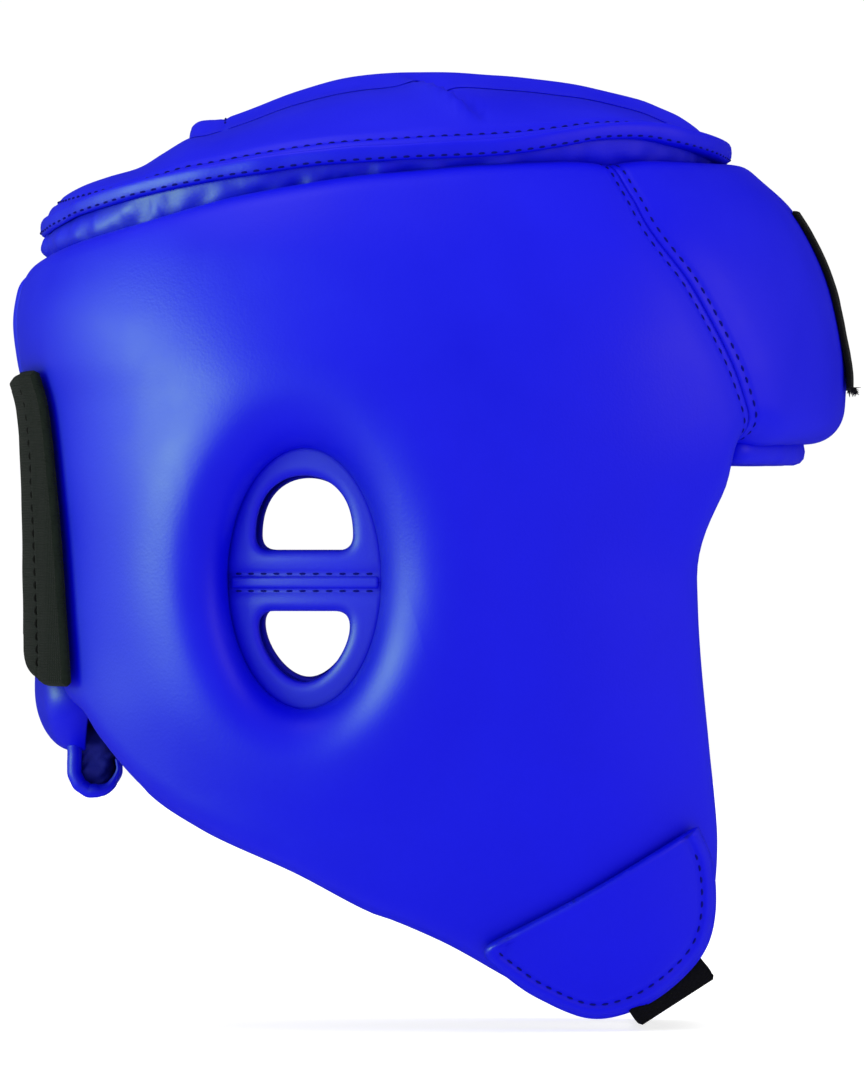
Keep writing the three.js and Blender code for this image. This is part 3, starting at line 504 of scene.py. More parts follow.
BLUE_DARK, BLUE = (0.0001, 0.0002, 0.58), (0.0003, 0.0005, 0.69)
blue_leather = leather("blue_leather", BLUE_DARK, BLUE, 0.44, 0.56, 0.25, 0.12)
guard_leather = leather("blue_guard", BLUE_DARK, BLUE, 0.52, 0.62, 0.25, 0.2)
blue_lining = leather("blue_lining", (0.004, 0.006, 0.16), (0.006, 0.01, 0.24), 0.65, 0.85, 0.6, 0.2)
blue_thread = leather("blue_thread", (0.0005, 0.001, 0.12), (0.001, 0.002, 0.22), 0.6, 0.8, 0.2, 0.1)
# The strap's dark colours lean slightly green: painted light, the greenish cast of the lamps on the black
# webbing.
black_strap = weave("black_strap", (0.004, 0.0065, 0.005), (0.013, 0.018, 0.014), 420.0)
black_hook = weave("black_hook", (0.004, 0.004, 0.004), (0.012, 0.012, 0.012), 700.0, 0.0006, 0.9)
black_loop = weave("black_loop", (0.005, 0.005, 0.006), (0.016, 0.016, 0.018), 260.0, 0.0008, 0.95)
black_patch = weave("black_patch", (0.003, 0.003, 0.004), (0.008, 0.008, 0.01), 500.0)
# The chin webbing is the strap's black webbing in darker colours: painted shade for where it runs under the
# chin.
black_web_painted_shade = weave("black_web_painted_shade", (0.002, 0.002, 0.003), (0.006, 0.006, 0.009), 420.0, roughness=1.0, sheen=0.0)
black_thread = weave("black_thread", (0.006, 0.007, 0.006), (0.014, 0.015, 0.014), 900.0)

# ---------- The shell's outer envelope ----------
half_width_at = through(
    [[-130, 58], [-100, 72], [-60, 88], [-20, 98], [20, 102], [58, 101], [88, 94]]
    + [[106, 85], [120, 74], [128, 64]]
)
front_at = through(
    [[-130, 135], [-60, 131], [0, 134], [34, 150], [56, 153], [72, 151.2], [88, 146.8], [104, 137.9]]
    + [[113, 128.4], [119, 121.3], [128, 107]]
)
back_at = through(
    [[-60, -73], [-38, -77], [-18, -77], [20, -77.5], [48, -79], [62, -82.5], [74, -83.5], [86, -80.9]]
    + [[98, -75.2], [110, -65], [122, -50]]
)


def envelope(t, z):
    """A point of the envelope: t is the plan angle, 0 straight ahead, pi at the back."""
    reach = np.where(np.cos(t) > 0, front_at(z) - HEAD_X, HEAD_X - back_at(z))
    x = HEAD_X + reach * signed_power(np.cos(t), 2 / ROUNDNESS)
    y = half_width_at(z) * signed_power(np.sin(t), 2 / ROUNDNESS)
    return xyz(x, y, z)


def envelope_normal(t, z):
    around = envelope(t + 0.02, z) - envelope(t - 0.02, z)
    up = envelope(t, z + 1) - envelope(t, z - 1)
    return unit(np.cross(around, up))


def angle_at_x(x, z):
    """The plan angle, on the left side, at which the envelope passes x."""
    reach = np.where(x > HEAD_X, front_at(z) - HEAD_X, HEAD_X - back_at(z))
    return np.arccos(np.clip(signed_power((x - HEAD_X) / reach, ROUNDNESS / 2), -1, 1))


def angle_at_back_y(y, z):
    return np.pi - np.arcsin(signed_power(y / half_width_at(z), ROUNDNESS / 2))


def shell_point(t, z, depth):
    """A point at a depth below the envelope."""
    return envelope(t, z) - envelope_normal(t, z) * np.asarray(depth)[..., None]


def sunk(x, z, depth, hold=1.0):
    """Left-side points at a depth, kept at x and z as seen from the side as far as hold says."""
    at_x, at_z = x, z
    for _ in range(5):
        place = shell_point(angle_at_x(at_x, at_z), at_z, depth)
        at_x = at_x + hold * (x - place[..., 0])
        at_z = at_z + hold * (z - place[..., 2])
    return shell_point(angle_at_x(at_x, at_z), at_z, depth)


def pad_thickness(t):
    turn = np.abs(t)
    front = (FRONT_PAD - SIDE_PAD) * (1 - smooth((turn - 0.35) / 0.6))
    return SIDE_PAD + front + (REAR_PAD - SIDE_PAD) * smooth((turn - 2.3) / 0.6)


# ---------- Outlines of the panels, as curves over (t, z) ----------
T_SCALE = 100  # about the radius in mm, so that t and z run at like lengths


def on_side(x, z):
    return (float(angle_at_x(x, z)) * T_SCALE, z)


def on_back(y, z):
    return (float(angle_at_back_y(y, z)) * T_SCALE, z)


CHIN_CORNER = (109, -111)
BROW_CORNER = (127.5, FOREHEAD_BOTTOM)
SEAM_TOP = (83, 122)
REAR_FOOT = (-65, -42.5)
REAR_HEAD_Z = 93
REAR_HALF_GAP = 15
FACE = [CHIN_CORNER, (119, -98), (121.5, -74), (118.7, -45), (115.8, -10), (116.6, 8), (122.6, 22)]
FACE += [BROW_CORNER]
SEAM = [BROW_CORNER, (124.4, 50), (118, 66), (109, 82), (95.5, 101), SEAM_TOP]
BOTTOM = [CHIN_CORNER, (97, -121), (83, -125), (63, -119), (36, -104.7), (-2, -87.2)]
BOTTOM += [(-32, -73.6), (-50, -61.4), REAR_FOOT]
REAR = [(40, -30), (22, -4), (REAR_HALF_GAP, 28), (REAR_HALF_GAP, 62), (REAR_HALF_GAP, REAR_HEAD_Z)]
TOP = [SEAM_TOP, (54, 121), (20, 118), (-20, 111.5), (-52, 102.5)]
face_edge = curve_through([on_side(*p) for p in FACE])
forehead_seam = curve_through([on_side(*p) for p in SEAM])
bottom_edge = curve_through([on_side(*p) for p in BOTTOM])
rear_edge = curve_through([on_side(*REAR_FOOT)] + [on_back(*p) for p in REAR])
top_edge = curve_through([on_side(*p) for p in TOP] + [on_back(REAR_HALF_GAP, REAR_HEAD_Z)])


BOWL_FRONT = 90  # the ear's bowl ends behind this x, so that the forehead has none
EDGE_SAMPLES = 1000
EDGE_SLACK = 0.2  # more than half the spacing of the samples, so that sewn edges are exactly at 0


def edge_points(curve):
    p = curve(np.linspace(0, 1, EDGE_SAMPLES))
    return envelope(p[:, 0] / T_SCALE, p[:, 1])


brow_t = float(angle_at_x(*BROW_CORNER))
seam_top_t = float(angle_at_x(*SEAM_TOP))
brow_points = envelope(np.linspace(-brow_t, brow_t, EDGE_SAMPLES), FOREHEAD_BOTTOM)
forehead_top = envelope(np.linspace(-seam_top_t, seam_top_t, EDGE_SAMPLES), SEAM_TOP[1])
FREE_EDGES = [
    (edge_points(face_edge), 15),
    (brow_points, 15),
    (edge_points(bottom_edge), 13),
    (edge_points(rear_edge), 9),
    (np.vstack([edge_points(top_edge), forehead_top]), 12),
]
seam_line = edge_points(forehead_seam)


def ear_distance(x, z):
    """How far a point in the side view is outside the ear opening, along its ray."""
    away = np.hypot(x, z)
    rim = away / np.maximum(np.hypot(x / EAR_RX, z / EAR_RZ), 1e-6)
    return away - np.maximum(rim, EAR_RX)


def pad_depths(t, z):
    """Depths of the pad's outer skin and of its lining's inner face, on the left side."""
    point = envelope(t, z)
    thickness = pad_thickness(t)
    edge = thickness * EDGE_DEPTH
    outer_rise = 1.0
    inner_rise = 1.0
    for line, radius in FREE_EDGES:
        away = np.maximum(nearest(point, line) - EDGE_SLACK, 0)
        outer_rise = outer_rise * roll(away, radius)
        inner_rise = inner_rise * roll(away, radius * 0.6)
    from_seam = nearest(point, seam_line)
    groove = 1.5 * bell(from_seam, 7) + 0.7 * bell(from_seam, 0.9) + 0.45 * bell(from_seam - 2.25, 0.8)
    skin = edge * (1 - outer_rise) + groove
    from_ear = ear_distance(point[..., 0], point[..., 2])
    share = np.clip(from_ear / BOWL_WIDTH, 0, 1)
    bowl = EAR_SEAT * (1 - np.sqrt(np.maximum(1 - (1 - share) ** 2, 0)))
    swell = 1.6 * bell(from_ear - BOWL_WIDTH - 4, 11)
    skin = np.where(point[..., 0] < BOWL_FRONT, skin + bowl - swell, skin)
    inside = thickness - (thickness - edge) * (1 - inner_rise)
    return skin, inside


# ---------- Side pads ----------
BROW_SHARE = 0.55  # where the forehead seam meets the face opening, along the panel's front edge
EAR_HOLD = 34  # how far round the ear the sunk skin keeps its places in the side view
UNEVEN_HEIGHT, UNEVEN_SIZE = 0.45, 38


def front_boundary(v):
    low = face_edge(v / BROW_SHARE)
    high = forehead_seam((v - BROW_SHARE) / (1 - BROW_SHARE))
    return np.where(np.asarray(v)[..., None] < BROW_SHARE, low, high)


def side_place(u, v):
    """A Coons patch over the side panel's four edges, in (t, z)."""
    u, v = np.asarray(u)[..., None], np.asarray(v)[..., None]
    front, rear = front_boundary(v[..., 0]), rear_edge(v[..., 0])
    bottom, top = bottom_edge(u[..., 0]), top_edge(u[..., 0])
    corners = mix(mix(face_edge(0), forehead_seam(1), v), mix(rear_edge(0), rear_edge(1), v), u)
    place = mix(front, rear, u) + mix(bottom, top, v) - corners
    return place[..., 0] / T_SCALE, place[..., 1]


def side_sheet(columns, rows, rings, layer):
    """One layer of the side pad, with its ear opening ringed by its own loops of faces."""
    u = closer_at_ends(columns)
    v = closer_at_ends(rows, 0.45)
    v[np.argmin(np.abs(v - BROW_SHARE))] = BROW_SHARE
    t, z = side_place(*grid(u, v))
    x = envelope(t, z)[..., 0]
    near = np.argwhere(ear_distance(x, z) < 9)
    (i0, j0), (i1, j1) = near.min(0), near.max(0)
    faces = grid_faces(columns, rows)
    column, row = faces[:, 0] // rows, faces[:, 0] % rows
    kept = (column < i0) | (column >= i1) | (row < j0) | (row >= j1)
    loop = [(i, j0) for i in range(i0, i1)] + [(i1, j) for j in range(j0, j1)]
    loop += [(i, j1) for i in range(i1, i0, -1)] + [(i0, j) for j in range(j1, j0, -1)]
    li, lj = np.array(loop).T
    lx, lz = x[li, lj], z[li, lj]
    turn = np.arctan2(lz / EAR_RZ, lx / EAR_RX)
    inwards = 1 - (1 - np.linspace(0, 1, rings + 1)[1:, None]) ** 1.9
    rx = mix(lx, EAR_RX * np.cos(turn), inwards)
    rz = mix(lz, EAR_RZ * np.sin(turn), inwards)
    t = np.concatenate([t.ravel(), angle_at_x(rx, rz).ravel()])
    z = np.concatenate([z.ravel(), rz.ravel()])
    count = len(loop)
    ring_index = np.vstack([li * rows + lj, columns * rows + np.arange(rings * count).reshape(rings, count)])
    a, b = ring_index[:-1], ring_index[1:]
    band = np.stack([a, np.roll(a, -1, 1), np.roll(b, -1, 1), b], -1).reshape(-1, 4)
    faces = np.vstack([faces[kept], band])
    used, faces = np.unique(faces, return_inverse=True)
    faces = faces.reshape(-1, 4)
    t, z = t[used], z[used]
    skin, inside = pad_depths(t, z)
    depth = skin if layer == "skin" else inside
    verts = shell_point(t, z, depth)
    x = envelope(t, z)[:, 0]
    hold = 1 - smooth(ear_distance(x, z) / EAR_HOLD)
    near = hold > 0
    verts[near] = sunk(x[near], z[near], depth[near], hold[near])
    return verts, facing_out(verts, faces, (HEAD_X, 0, 0))


def uneven(verts):
    """Pushes points in and out by smooth noise, as hand-filled padding does."""
    out = unit(verts - np.array([HEAD_X, 0, 0]))
    return verts + out * (UNEVEN_HEIGHT * bumps(verts, UNEVEN_SIZE))[:, None]


def pad(names, skin, inside, covered, lined):
    """A pad's leather and its lining, each named and made from its own (verts, faces)."""
    verts, faces = skin
    cover = thicken(uneven(verts), faces, LEATHER, False)
    add_mesh(names[0], *cover, blue_leather, "shell", *covered)
    verts, faces = inside
    lining = thicken(uneven(verts), faces[:, ::-1], LINING, False)
    add_mesh(names[1], *lining, blue_lining, "shell", lined)


side_skin = side_sheet(118, 132, 24, "skin")
side_inside = side_sheet(60, 66, 8, "inside")
for side in SIDES:
    covered = [f"side_{layer}_{side}" for layer in ("cover", "outer_foam", "inner_foam")]
    pad((f"side_pad_{side}", f"side_inner_{side}"), sided(side, *side_skin), sided(side, *side_inside),
        covered, f"side_lining_{side}")


def on_pad(place):
    """Points and normals on the pads' skin, for places over (t, z). Negative t is the right side."""
    t, z = place[..., 0] / T_SCALE, place[..., 1]
    skin, _ = pad_depths(np.abs(t), z)
    return uneven(shell_point(t, z, skin)), envelope_normal(t, z)


# ---------- Forehead pad ----------
def forehead_sheet(columns, rows, layer):
    across = closer_at_ends(columns, 0.5) * 2 - 1
    v = mix(BROW_SHARE, 1, closer_at_ends(rows, 0.6))
    seam = forehead_seam((v - BROW_SHARE) / (1 - BROW_SHARE))
    t = across[:, None] * seam[None, :, 0] / T_SCALE
    z = np.broadcast_to(seam[:, 1], t.shape)
    t, z = t.ravel(), z.ravel()
    skin, inside = pad_depths(np.abs(t), z)
    verts = shell_point(t, z, skin if layer == "skin" else inside)
    return verts, facing_out(verts, grid_faces(columns, rows), (HEAD_X, 0, 80))


pad(("forehead_pad", "forehead_inner"), forehead_sheet(110, 72, "skin"), forehead_sheet(60, 36, "inside"),
    ("forehead_cover", "forehead_outer_foam", "forehead_inner_foam"), "forehead_lining")
SEAM_STITCHES = 2.3  # from the forehead seam to the row of stitches on each side of it
seam_track = forehead_seam(np.linspace(0.03, 0.985, 300))
offsets = (-SEAM_STITCHES, SEAM_STITCHES)
tracks = [beside(seam_track, offset) * [turn, 1] for turn in (1, -1) for offset in offsets]
stitches("stitches_forehead", [on_pad(track) for track in tracks], blue_thread, "shell")


# ---------- Brow hem and forehead patch ----------
BROW_HEM_DEPTH = 13.2  # how far behind the forehead's face the hem hangs
turns = np.linspace(-1, 1, 130) * brow_t * 0.98
outwards = unit(envelope_normal(turns, FOREHEAD_BOTTOM) * [1, 1, 0])
centre = envelope(turns, FOREHEAD_BOTTOM) - outwards * BROW_HEM_DEPTH
centre[:, 2] = FOREHEAD_BOTTOM + 2.4
ripple = 0.35 * bumps(centre, 7)
bead("brow_edge", (centre, outwards, upright(centre)), 4.6 + ripple, 3.9 + 0.5 * ripple, blue_leather,
     "shell", "brow_hem")

PATCH_HALF_WIDTH, PATCH_LOW, PATCH_HIGH = 18, 54, 103


def patch_point(u, v, lift):
    """A place on the forehead patch: u runs from side to side, v upwards."""
    z = mix(PATCH_LOW, PATCH_HIGH, v)
    t = np.arcsin(signed_power(u * PATCH_HALF_WIDTH / half_width_at(z), ROUNDNESS / 2))
    skin, _ = pad_depths(np.abs(t), z)
    return shell_point(t, z, skin - lift)


u, v = grid(np.linspace(-1, 1, 32), np.linspace(0, 1, 48))
frayed = 0.9 * bumps(xyz(u * 40, 0, 0), 3) * (1 - smooth(v / 0.06))  # only along the lower edge
lift = 1.4 + 0.8 * (1 - smooth(v / 0.3)) + 0.12 * bumps(xyz(u * 34, v * 49, 0), 4)
panel("forehead_tape", patch_point(u, v + frayed * 0.02, lift), 1.3, black_patch, "shell",
      "forehead_patch", centre=(HEAD_X, 0, 80))


u = np.linspace(-0.98, 0.98, 90)
starts = patch_point(u, np.zeros_like(u), 2.2)
outwards = unit(starts - np.array([HEAD_X, 0, 60]))
tufts("forehead_tape_fray", starts, outwards, -upright(starts), black_patch, "shell", 5, 2.6)


# ---------- Ear guards ----------
def sound_hole(up, flat, dome, half, shoulder):
    """A D-shaped outline: a flat side at z = flat with round corners, and a dome on the far side."""
    corner = 4.2
    inner = flat + up * corner
    return np.vstack([
        bezier((half - corner, flat), (half, flat), (half, inner)),
        bezier((half, inner), (half, shoulder), (half * 0.5, dome), (0, dome)),
        bezier((0, dome), (-half * 0.5, dome), (-half, shoulder), (-half, inner)),
        bezier((-half, inner), (-half, flat), (-half + corner, flat)),
        bezier((-half + corner, flat), (half - corner, flat)),
    ])


GUARD_DEPTH = EAR_SEAT + LEATHER + 0.4  # just behind the cover at the opening's rim
GUARD_UNDER = 3.2  # how far the guard reaches under the cover's rim
GUARD_RISE = 2.5  # how far its middle stands out from there
GUARD_RINGS = np.array([0, 0.025, 0.06, 0.1, 0.15, 0.21, 0.28, 0.36, 0.45])  # shares from hole to rim
GUARD_RINGS = np.append(GUARD_RINGS, [0.54, 0.63, 0.71, 0.78, 0.84, 0.9, 0.95, 1])
STITCH_GAP = 2.4  # from the guard's seam to each row of stitches
FAR_FROM_HOLE = 9.0  # a distance at which a hole's rolled edge has no effect


def guard_depth(x, z, from_hole):
    """Depth of the guard's face: puffed up between its seam, its rim and the hole's rolled edge."""
    inside = np.clip((1.5 - ear_distance(x, z)) / 1.6, 0, 1)
    rise = GUARD_RISE * np.sqrt(1 - (1 - inside) ** 2)
    from_seam = np.abs(z - EAR_SEAM_Z)
    puff = 0.5 * smooth((from_seam - STITCH_GAP) / 4)
    groove = 0.6 * bell(from_seam - STITCH_GAP, 0.75)
    lip = 3.0 * (1 - roll(from_hole, 3.0))
    return GUARD_DEPTH + 0.2 - 0.04 * x - rise - puff * inside + groove + lip


def guard_half(up, outline):
    low, high = np.sort([outline[:, 1].min(), outline[:, 1].max()])
    centre = np.array([0, mix(low, high, 0.5 - 0.06 * up)])
    from_centre = outline - centre
    angles = np.arctan2(from_centre[:, 1], from_centre[:, 0])
    order = np.argsort(angles)
    rx, rz = EAR_RX + GUARD_UNDER, EAR_RZ + GUARD_UNDER
    seam = EAR_SEAM_Z
    corner = rx * math.sqrt(1 - (seam / rz) ** 2)
    turn = np.linspace(-np.pi, np.pi, 200, endpoint=False)
    for x in (-corner, corner):
        exact = math.atan2(seam - centre[1], x)
        turn[np.argmin(np.abs(turn - exact))] = exact
    reach = np.interp(turn, angles[order], np.hypot(*from_centre.T)[order], period=2 * np.pi)
    way = np.stack([np.cos(turn), np.sin(turn)], -1)
    a = (way[:, 0] / rx) ** 2 + (way[:, 1] / rz) ** 2
    b = centre[1] * way[:, 1] / rz**2
    c = (centre[1] / rz) ** 2 - 1
    far = (-b + np.sqrt(b * b - a * c)) / a
    to_seam = (seam - centre[1]) / np.where(way[:, 1] * up < 0, way[:, 1], -up * 1e-6)
    far = np.minimum(far, to_seam)
    distance = reach[:, None] + (far - reach)[:, None] * GUARD_RINGS
    x = distance * way[:, :1]
    z = centre[1] + distance * way[:, 1:]
    from_hole = nearest(xyz(x, z, 0), xyz(*outline.T, 0))
    from_hole[:, 0] = 0
    depth = guard_depth(x, z, from_hole)
    x = np.hstack([x[:, :1], x])
    z = np.hstack([z[:, :1], z])
    depth = np.hstack([depth[:, :1] + 1.2, depth])
    verts = sunk(x, z, depth)
    rows = x.shape[1]
    faces = grid_faces(len(turn), rows, closed=True)
    verts = verts.reshape(-1, 3)
    return verts, facing_out(verts, faces, (0, 0, centre[1]))


def seam_strip():
    """The narrow leather strip sewn over the line where the guard's two halves meet."""
    x, v = grid(np.linspace(-20.4, 20.4, 60), np.linspace(-1, 1, 12))
    z = EAR_SEAM_Z + v * (STITCH_GAP - 0.7)
    return sunk(x, z, guard_depth(x, z, FAR_FROM_HOLE) - 0.5 * (1 - v**4))


def ear_rows(flip):
    x = np.linspace(-20, 20, 60)
    rows = []
    for offset in (-STITCH_GAP, STITCH_GAP):
        z = np.full(60, EAR_SEAM_Z + offset)
        depth = guard_depth(x, z, FAR_FROM_HOLE)
        rows.append((sunk(x, z, depth) * flip, envelope_normal(angle_at_x(x, z), z) * flip))
    return rows


holes = {
    "upper": (1, sound_hole(1, 8, 28.7, 13.5, 24)),
    "lower": (-1, sound_hole(-1, -9, -28.7, 12.6, -19.5)),
}
for side, flip in SIDES.items():
    for half, (up, outline) in holes.items():
        cover = thicken(*sided(side, *guard_half(up, outline)), LEATHER, False)
        add_mesh(f"ear_panel_{half}_{side}", *cover, guard_leather, "shell", f"ear_guard_{half}_{side}")
    panel(f"ear_seam_strip_{side}", seam_strip() * flip, 0.8, guard_leather, "shell")
    stitches(f"stitches_ear_{side}", ear_rows(flip), blue_thread, "shell")

# ---------- Crown ----------
crown_top_at = through(
    [[-74.1, 100.5], [-73, 104], [-70, 107.5], [-64, 111], [-56, 113.8], [-47, 116.4], [-41, 120.2]]
    + [[-33, 125], [-28, 125.8], [-20, 128.2], [-4, 134.2], [12, 138.3], [30, 139.7], [50, 139.6]]
    + [[74, 136.7], [94, 132], [101, 129.2], [106.5, 126.7], [111.6, 124.3], [114.5, 121.5]]
)
crown_seam_at = through(
    [[-74.1, 100.5], [-62, 106], [-43, 111.2], [-23, 115], [5, 118.8], [30, 120.4], [55, 121.8], [70, 124]]
    + [[83, 126.3], [95, 126.6], [105, 124.4], [114.5, 121.5]]
)
FOLDS = [((25.0, -12.0), (48.0, -68.0), 2.4), ((8.0, 30.0), (-4.0, 66.0), 1.1)]  # start, end, height
CROWN_INSIDE = (CROWN_X, 0, 60)  # a place inside the head opening that crown pieces face away from


def crown_half_width(x):
    """Half the crown's width in plan, which is a superellipse."""
    share = np.abs((x - CROWN_X) / CROWN_HALF_LENGTH) ** ROUNDNESS
    return CROWN_HALF_WIDTH * np.maximum(0, 1 - share) ** (1 / ROUNDNESS)


def fold(x, y, start, end, height):
    """A soft crease: a ridge from start to end with a valley on its front side that closes up."""
    way = np.subtract(end, start)
    length = np.linalg.norm(way)
    way = way / length
    along = ((x - start[0]) * way[0] + (y - start[1]) * way[1]) / length
    across = (x - start[0]) * -way[1] + (y - start[1]) * way[0]
    strength = smooth((along + 0.02) / 0.4) * (1 - smooth((along - 0.8) / 0.25))
    valley = 2.2 + 4.5 * np.clip(1 - along, 0, 1.3)
    ridge = np.where(across > 0, bell(across, 1.5), bell(across, 5))
    return height * strength * (ridge - 0.75 * bell(across - valley, 0.6 * valley))


def crown_detail(x, y):
    """The crown's creases and slight unevenness."""
    flat = xyz(x, y, 0)
    return sum(fold(x, y, *each) for each in FOLDS) + 0.6 * bumps(flat, 34) + 0.15 * bumps(flat, 11)


def crown_height(x, y):
    """The crown's plain top, which rises from its rim to its middle line."""
    half = np.maximum(1, crown_half_width(x))
    share = np.clip(np.abs(y) / half, 0, 1)
    return mix(crown_seam_at(x), crown_top_at(x), (1 - share**2.4) ** 0.72)


def crown_plan(ring, angle):
    x = CROWN_X + CROWN_HALF_LENGTH * ring * signed_power(np.cos(angle), 2 / ROUNDNESS)
    return x, CROWN_HALF_WIDTH * ring * signed_power(np.sin(angle), 2 / ROUNDNESS)


def crown_skin(x, y, ring):
    """The crown's outer face, drawn in along the row of stitches near its rim."""
    from_rim = (1 - ring) / np.maximum(ring, 0.2) * np.hypot(x - CROWN_X, y)
    calm = smooth(from_rim / 8)
    channel = 0.8 * bell(from_rim - 3.2, 1.0)
    return crown_height(x, y) + calm * crown_detail(x, y) - channel


ring, angle = disc_grid(104)
x, y = crown_plan(ring, angle)
points = xyz(x, y, crown_skin(x, y, ring))
cover = panel("crown_pad", points, LEATHER, blue_leather, "shell", "crown_cover", "crown_foam",
              centre=CROWN_INSIDE)
ring, angle = disc_grid(50)
x, y = crown_plan(ring, angle)
depth = mix(CROWN_PAD, CROWN_RIM, smooth((ring - 0.7) / 0.3)) + 0.5 * bumps(xyz(x, y, 0), 22)
panel("crown_inner", xyz(x, y, crown_height(x, y) - depth), LINING, blue_lining, "shell", "crown_lining",
      centre=CROWN_INSIDE, face_in=True)

HEM_STEPS = 300
CROWN_ROW = 0.962  # how far out the crown's inner row of stitches lies, as a share of the rim
angle = 2 * np.pi * np.arange(HEM_STEPS) / HEM_STEPS
angle = angle - 0.12 * np.sin(4 * angle)  # evens out the steps round the rim
rim_x, rim_y = crown_plan(1, angle)
rim = xyz(rim_x, rim_y, crown_seam_at(rim_x))
rim_out = unit(xyz(rim_x - CROWN_X, rim_y, 0))
rim_up = upright(rim)
at_front = smooth((rim_x - 84) / 28)  # where the hem is thick
hem_wide = mix(1.2, 3.2, at_front) + 0.25 * bumps(rim, 9)
hem_tall = mix(2.4, 3.3, at_front) + 0.25 * bumps(rim, 12)
hem_centre = rim + rim_out * (hem_wide - mix(0.8, 0.3, at_front))[:, None]
hem_centre = hem_centre - rim_up * mix(1.3, 1.0, at_front)[:, None]
bead("crown_edge", (hem_centre, rim_out, rim_up), hem_wide, hem_tall, blue_leather, "shell", "crown_hem",
     closed=True, sides=18)

inner_x, inner_y = crown_plan(CROWN_ROW, angle)
row = xyz(inner_x, inner_y, crown_skin(inner_x, inner_y, CROWN_ROW))
row_up = unit(0.6 * rim_out + rim_up)
hem_face = hem_centre + rim_out * (hem_wide * 0.8)[:, None] - rim_up * (hem_tall * 0.6)[:, None]
crown_rows = []
for points, normals in ((row, row_up), (hem_face, rim_out)):
    crown_rows.append((np.vstack([points, points[:1]]), np.vstack([normals, normals[:1]])))
stitches("stitches_crown", crown_rows, blue_thread, "shell")

# The soft band between the crown and the pads, gathered into small upright wrinkles.
top_edge_z = through([[-83, 92], [-52, 102.5], [-20, 111.5], [20, 118], [54, 121], [83, 122], [130, 122]])
BAND_ROWS = 18
turn = np.where(angle > np.pi, angle - 2 * np.pi, angle)
foot_z = top_edge_z(envelope(turn, 105.0)[:, 0])
foot = shell_point(turn, foot_z, pad_thickness(turn) * EDGE_DEPTH + 1)
foot[:, 2] -= 1.5
head = hem_centre - rim_out * 1.2 - rim_up * 1.6
share = np.linspace(0, 1, BAND_ROWS)[None, :, None]
at_rear = smooth((-40 - rim_x) / 30)
belly = (foot + head) / 2 + rim_out * (5.5 + 4.5 * at_rear)[:, None] - rim_up * 2.5
band = foot[:, None] * (1 - share) ** 2 + 2 * belly[:, None] * share * (1 - share) + head[:, None] * share**2
wrinkle = bumps(band * [1, 1, 0.3], 4.5) + 0.6 * bumps(band * [1, 1, 0.4], 2.4)
band += rim_out[:, None] * (1.4 * wrinkle * np.sin(np.pi * share[..., 0]) ** 0.6)[..., None]
verts = band.reshape(-1, 3)
faces = facing_out(verts, grid_faces(HEM_STEPS, BAND_ROWS, closed=True), CROWN_INSIDE)
add_mesh("crown_gusset", *thicken(verts, faces, 1.0), blue_leather, "shell", "crown_band")

# ---------- Crown flap ----------
FLAP_FRONT, FLAP_REAR, FLAP_HALF_WIDTH = 116, -33, 28
FLAP_LIE = 3.6  # how far its outer face stands off the crown, over the tapes
FLAP_HEM = 0.8  # how much thicker the turned hem at its rear end is
FLAP_TAPER, FLAP_HEM_TAPER = 19, 12  # how far in from its sides the flap and its hem are at full height
FLAP_ROW = 10.0  # from its rear end to the row of stitches
HOOK_LOW, HOOK_HIGH = -20, 18


def flap_top(x, y):
    """The flap's outer face, which lies on the crown and thins out to its sides."""
    from_side = FLAP_HALF_WIDTH - np.abs(y)
    from_rear = x - FLAP_REAR
    lie = mix(1.1, FLAP_LIE, smooth((FLAP_FRONT - x) / 12))
    lie = mix(0.35, lie, smooth(from_side / FLAP_TAPER))
    hem = FLAP_HEM * bell(from_rear - 4.2, 3.0) * smooth(from_side / FLAP_HEM_TAPER)
    end = (lie + hem) * 0.6 * (1 - roll(from_rear, 3.2))
    groove = 0.4 * bell(from_rear - FLAP_ROW, 1.0)
    return crown_height(x, y) + crown_detail(x, y) + lie + hem - end - groove


def flap_blend(piece):
    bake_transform(piece)


along = runs((FLAP_REAR, FLAP_REAR + 12, 26), (FLAP_REAR + 12, 96, 66), (96, FLAP_FRONT, 22))
across = (closer_at_ends(54, 0.6) * 2 - 1) * FLAP_HALF_WIDTH
x, y = grid(along, across)
front_trim = CROWN_HALF_LENGTH * (1 - (1 - np.abs(y / CROWN_HALF_WIDTH) ** ROUNDNESS) ** (1 / ROUNDNESS))
x = x - front_trim * (x - FLAP_REAR) / (FLAP_FRONT - FLAP_REAR)
from_side, from_rear = FLAP_HALF_WIDTH - np.abs(y), x - FLAP_REAR
hem = 1.9 * bell(from_rear - 3.6, 3.6) * smooth(from_side / FLAP_HEM_TAPER)
thick = mix(0.25, 1.7, smooth(from_side / FLAP_TAPER)) + hem
flap_blend(panel("crown_flap_leather", xyz(x, y, flap_top(x, y)), thick, blue_leather, None, "crown_flap",
                 "crown_flap_anchor", centre=CROWN_INSIDE))

row_x, row_y = FLAP_REAR + FLAP_ROW, np.linspace(-1, 1, 120) * (FLAP_HALF_WIDTH - 10)
row = xyz(row_x, row_y, flap_top(row_x, row_y))
flap_blend(stitches("stitches_flap", [(row, upright(row))], blue_thread, None))


def crown_tape(name, low, high, half, lift, look, body, replaced):
    x, y = grid(np.linspace(low, high, 30), np.linspace(-half, half, 30))
    points = xyz(x, y, crown_height(x, y) + crown_detail(x, y) + lift + TAPE)
    panel(name, points, TAPE, look, body, replaced, centre=CROWN_INSIDE)


crown_tape("crown_loop_tape", HOOK_LOW - 2, HOOK_HIGH + 12, 18, 0.05, black_loop, "shell", "crown_loop")
crown_tape("crown_hook_tape", HOOK_LOW, HOOK_HIGH, 16, 1.0, black_hook, "crown_flap", "crown_flap_hook")

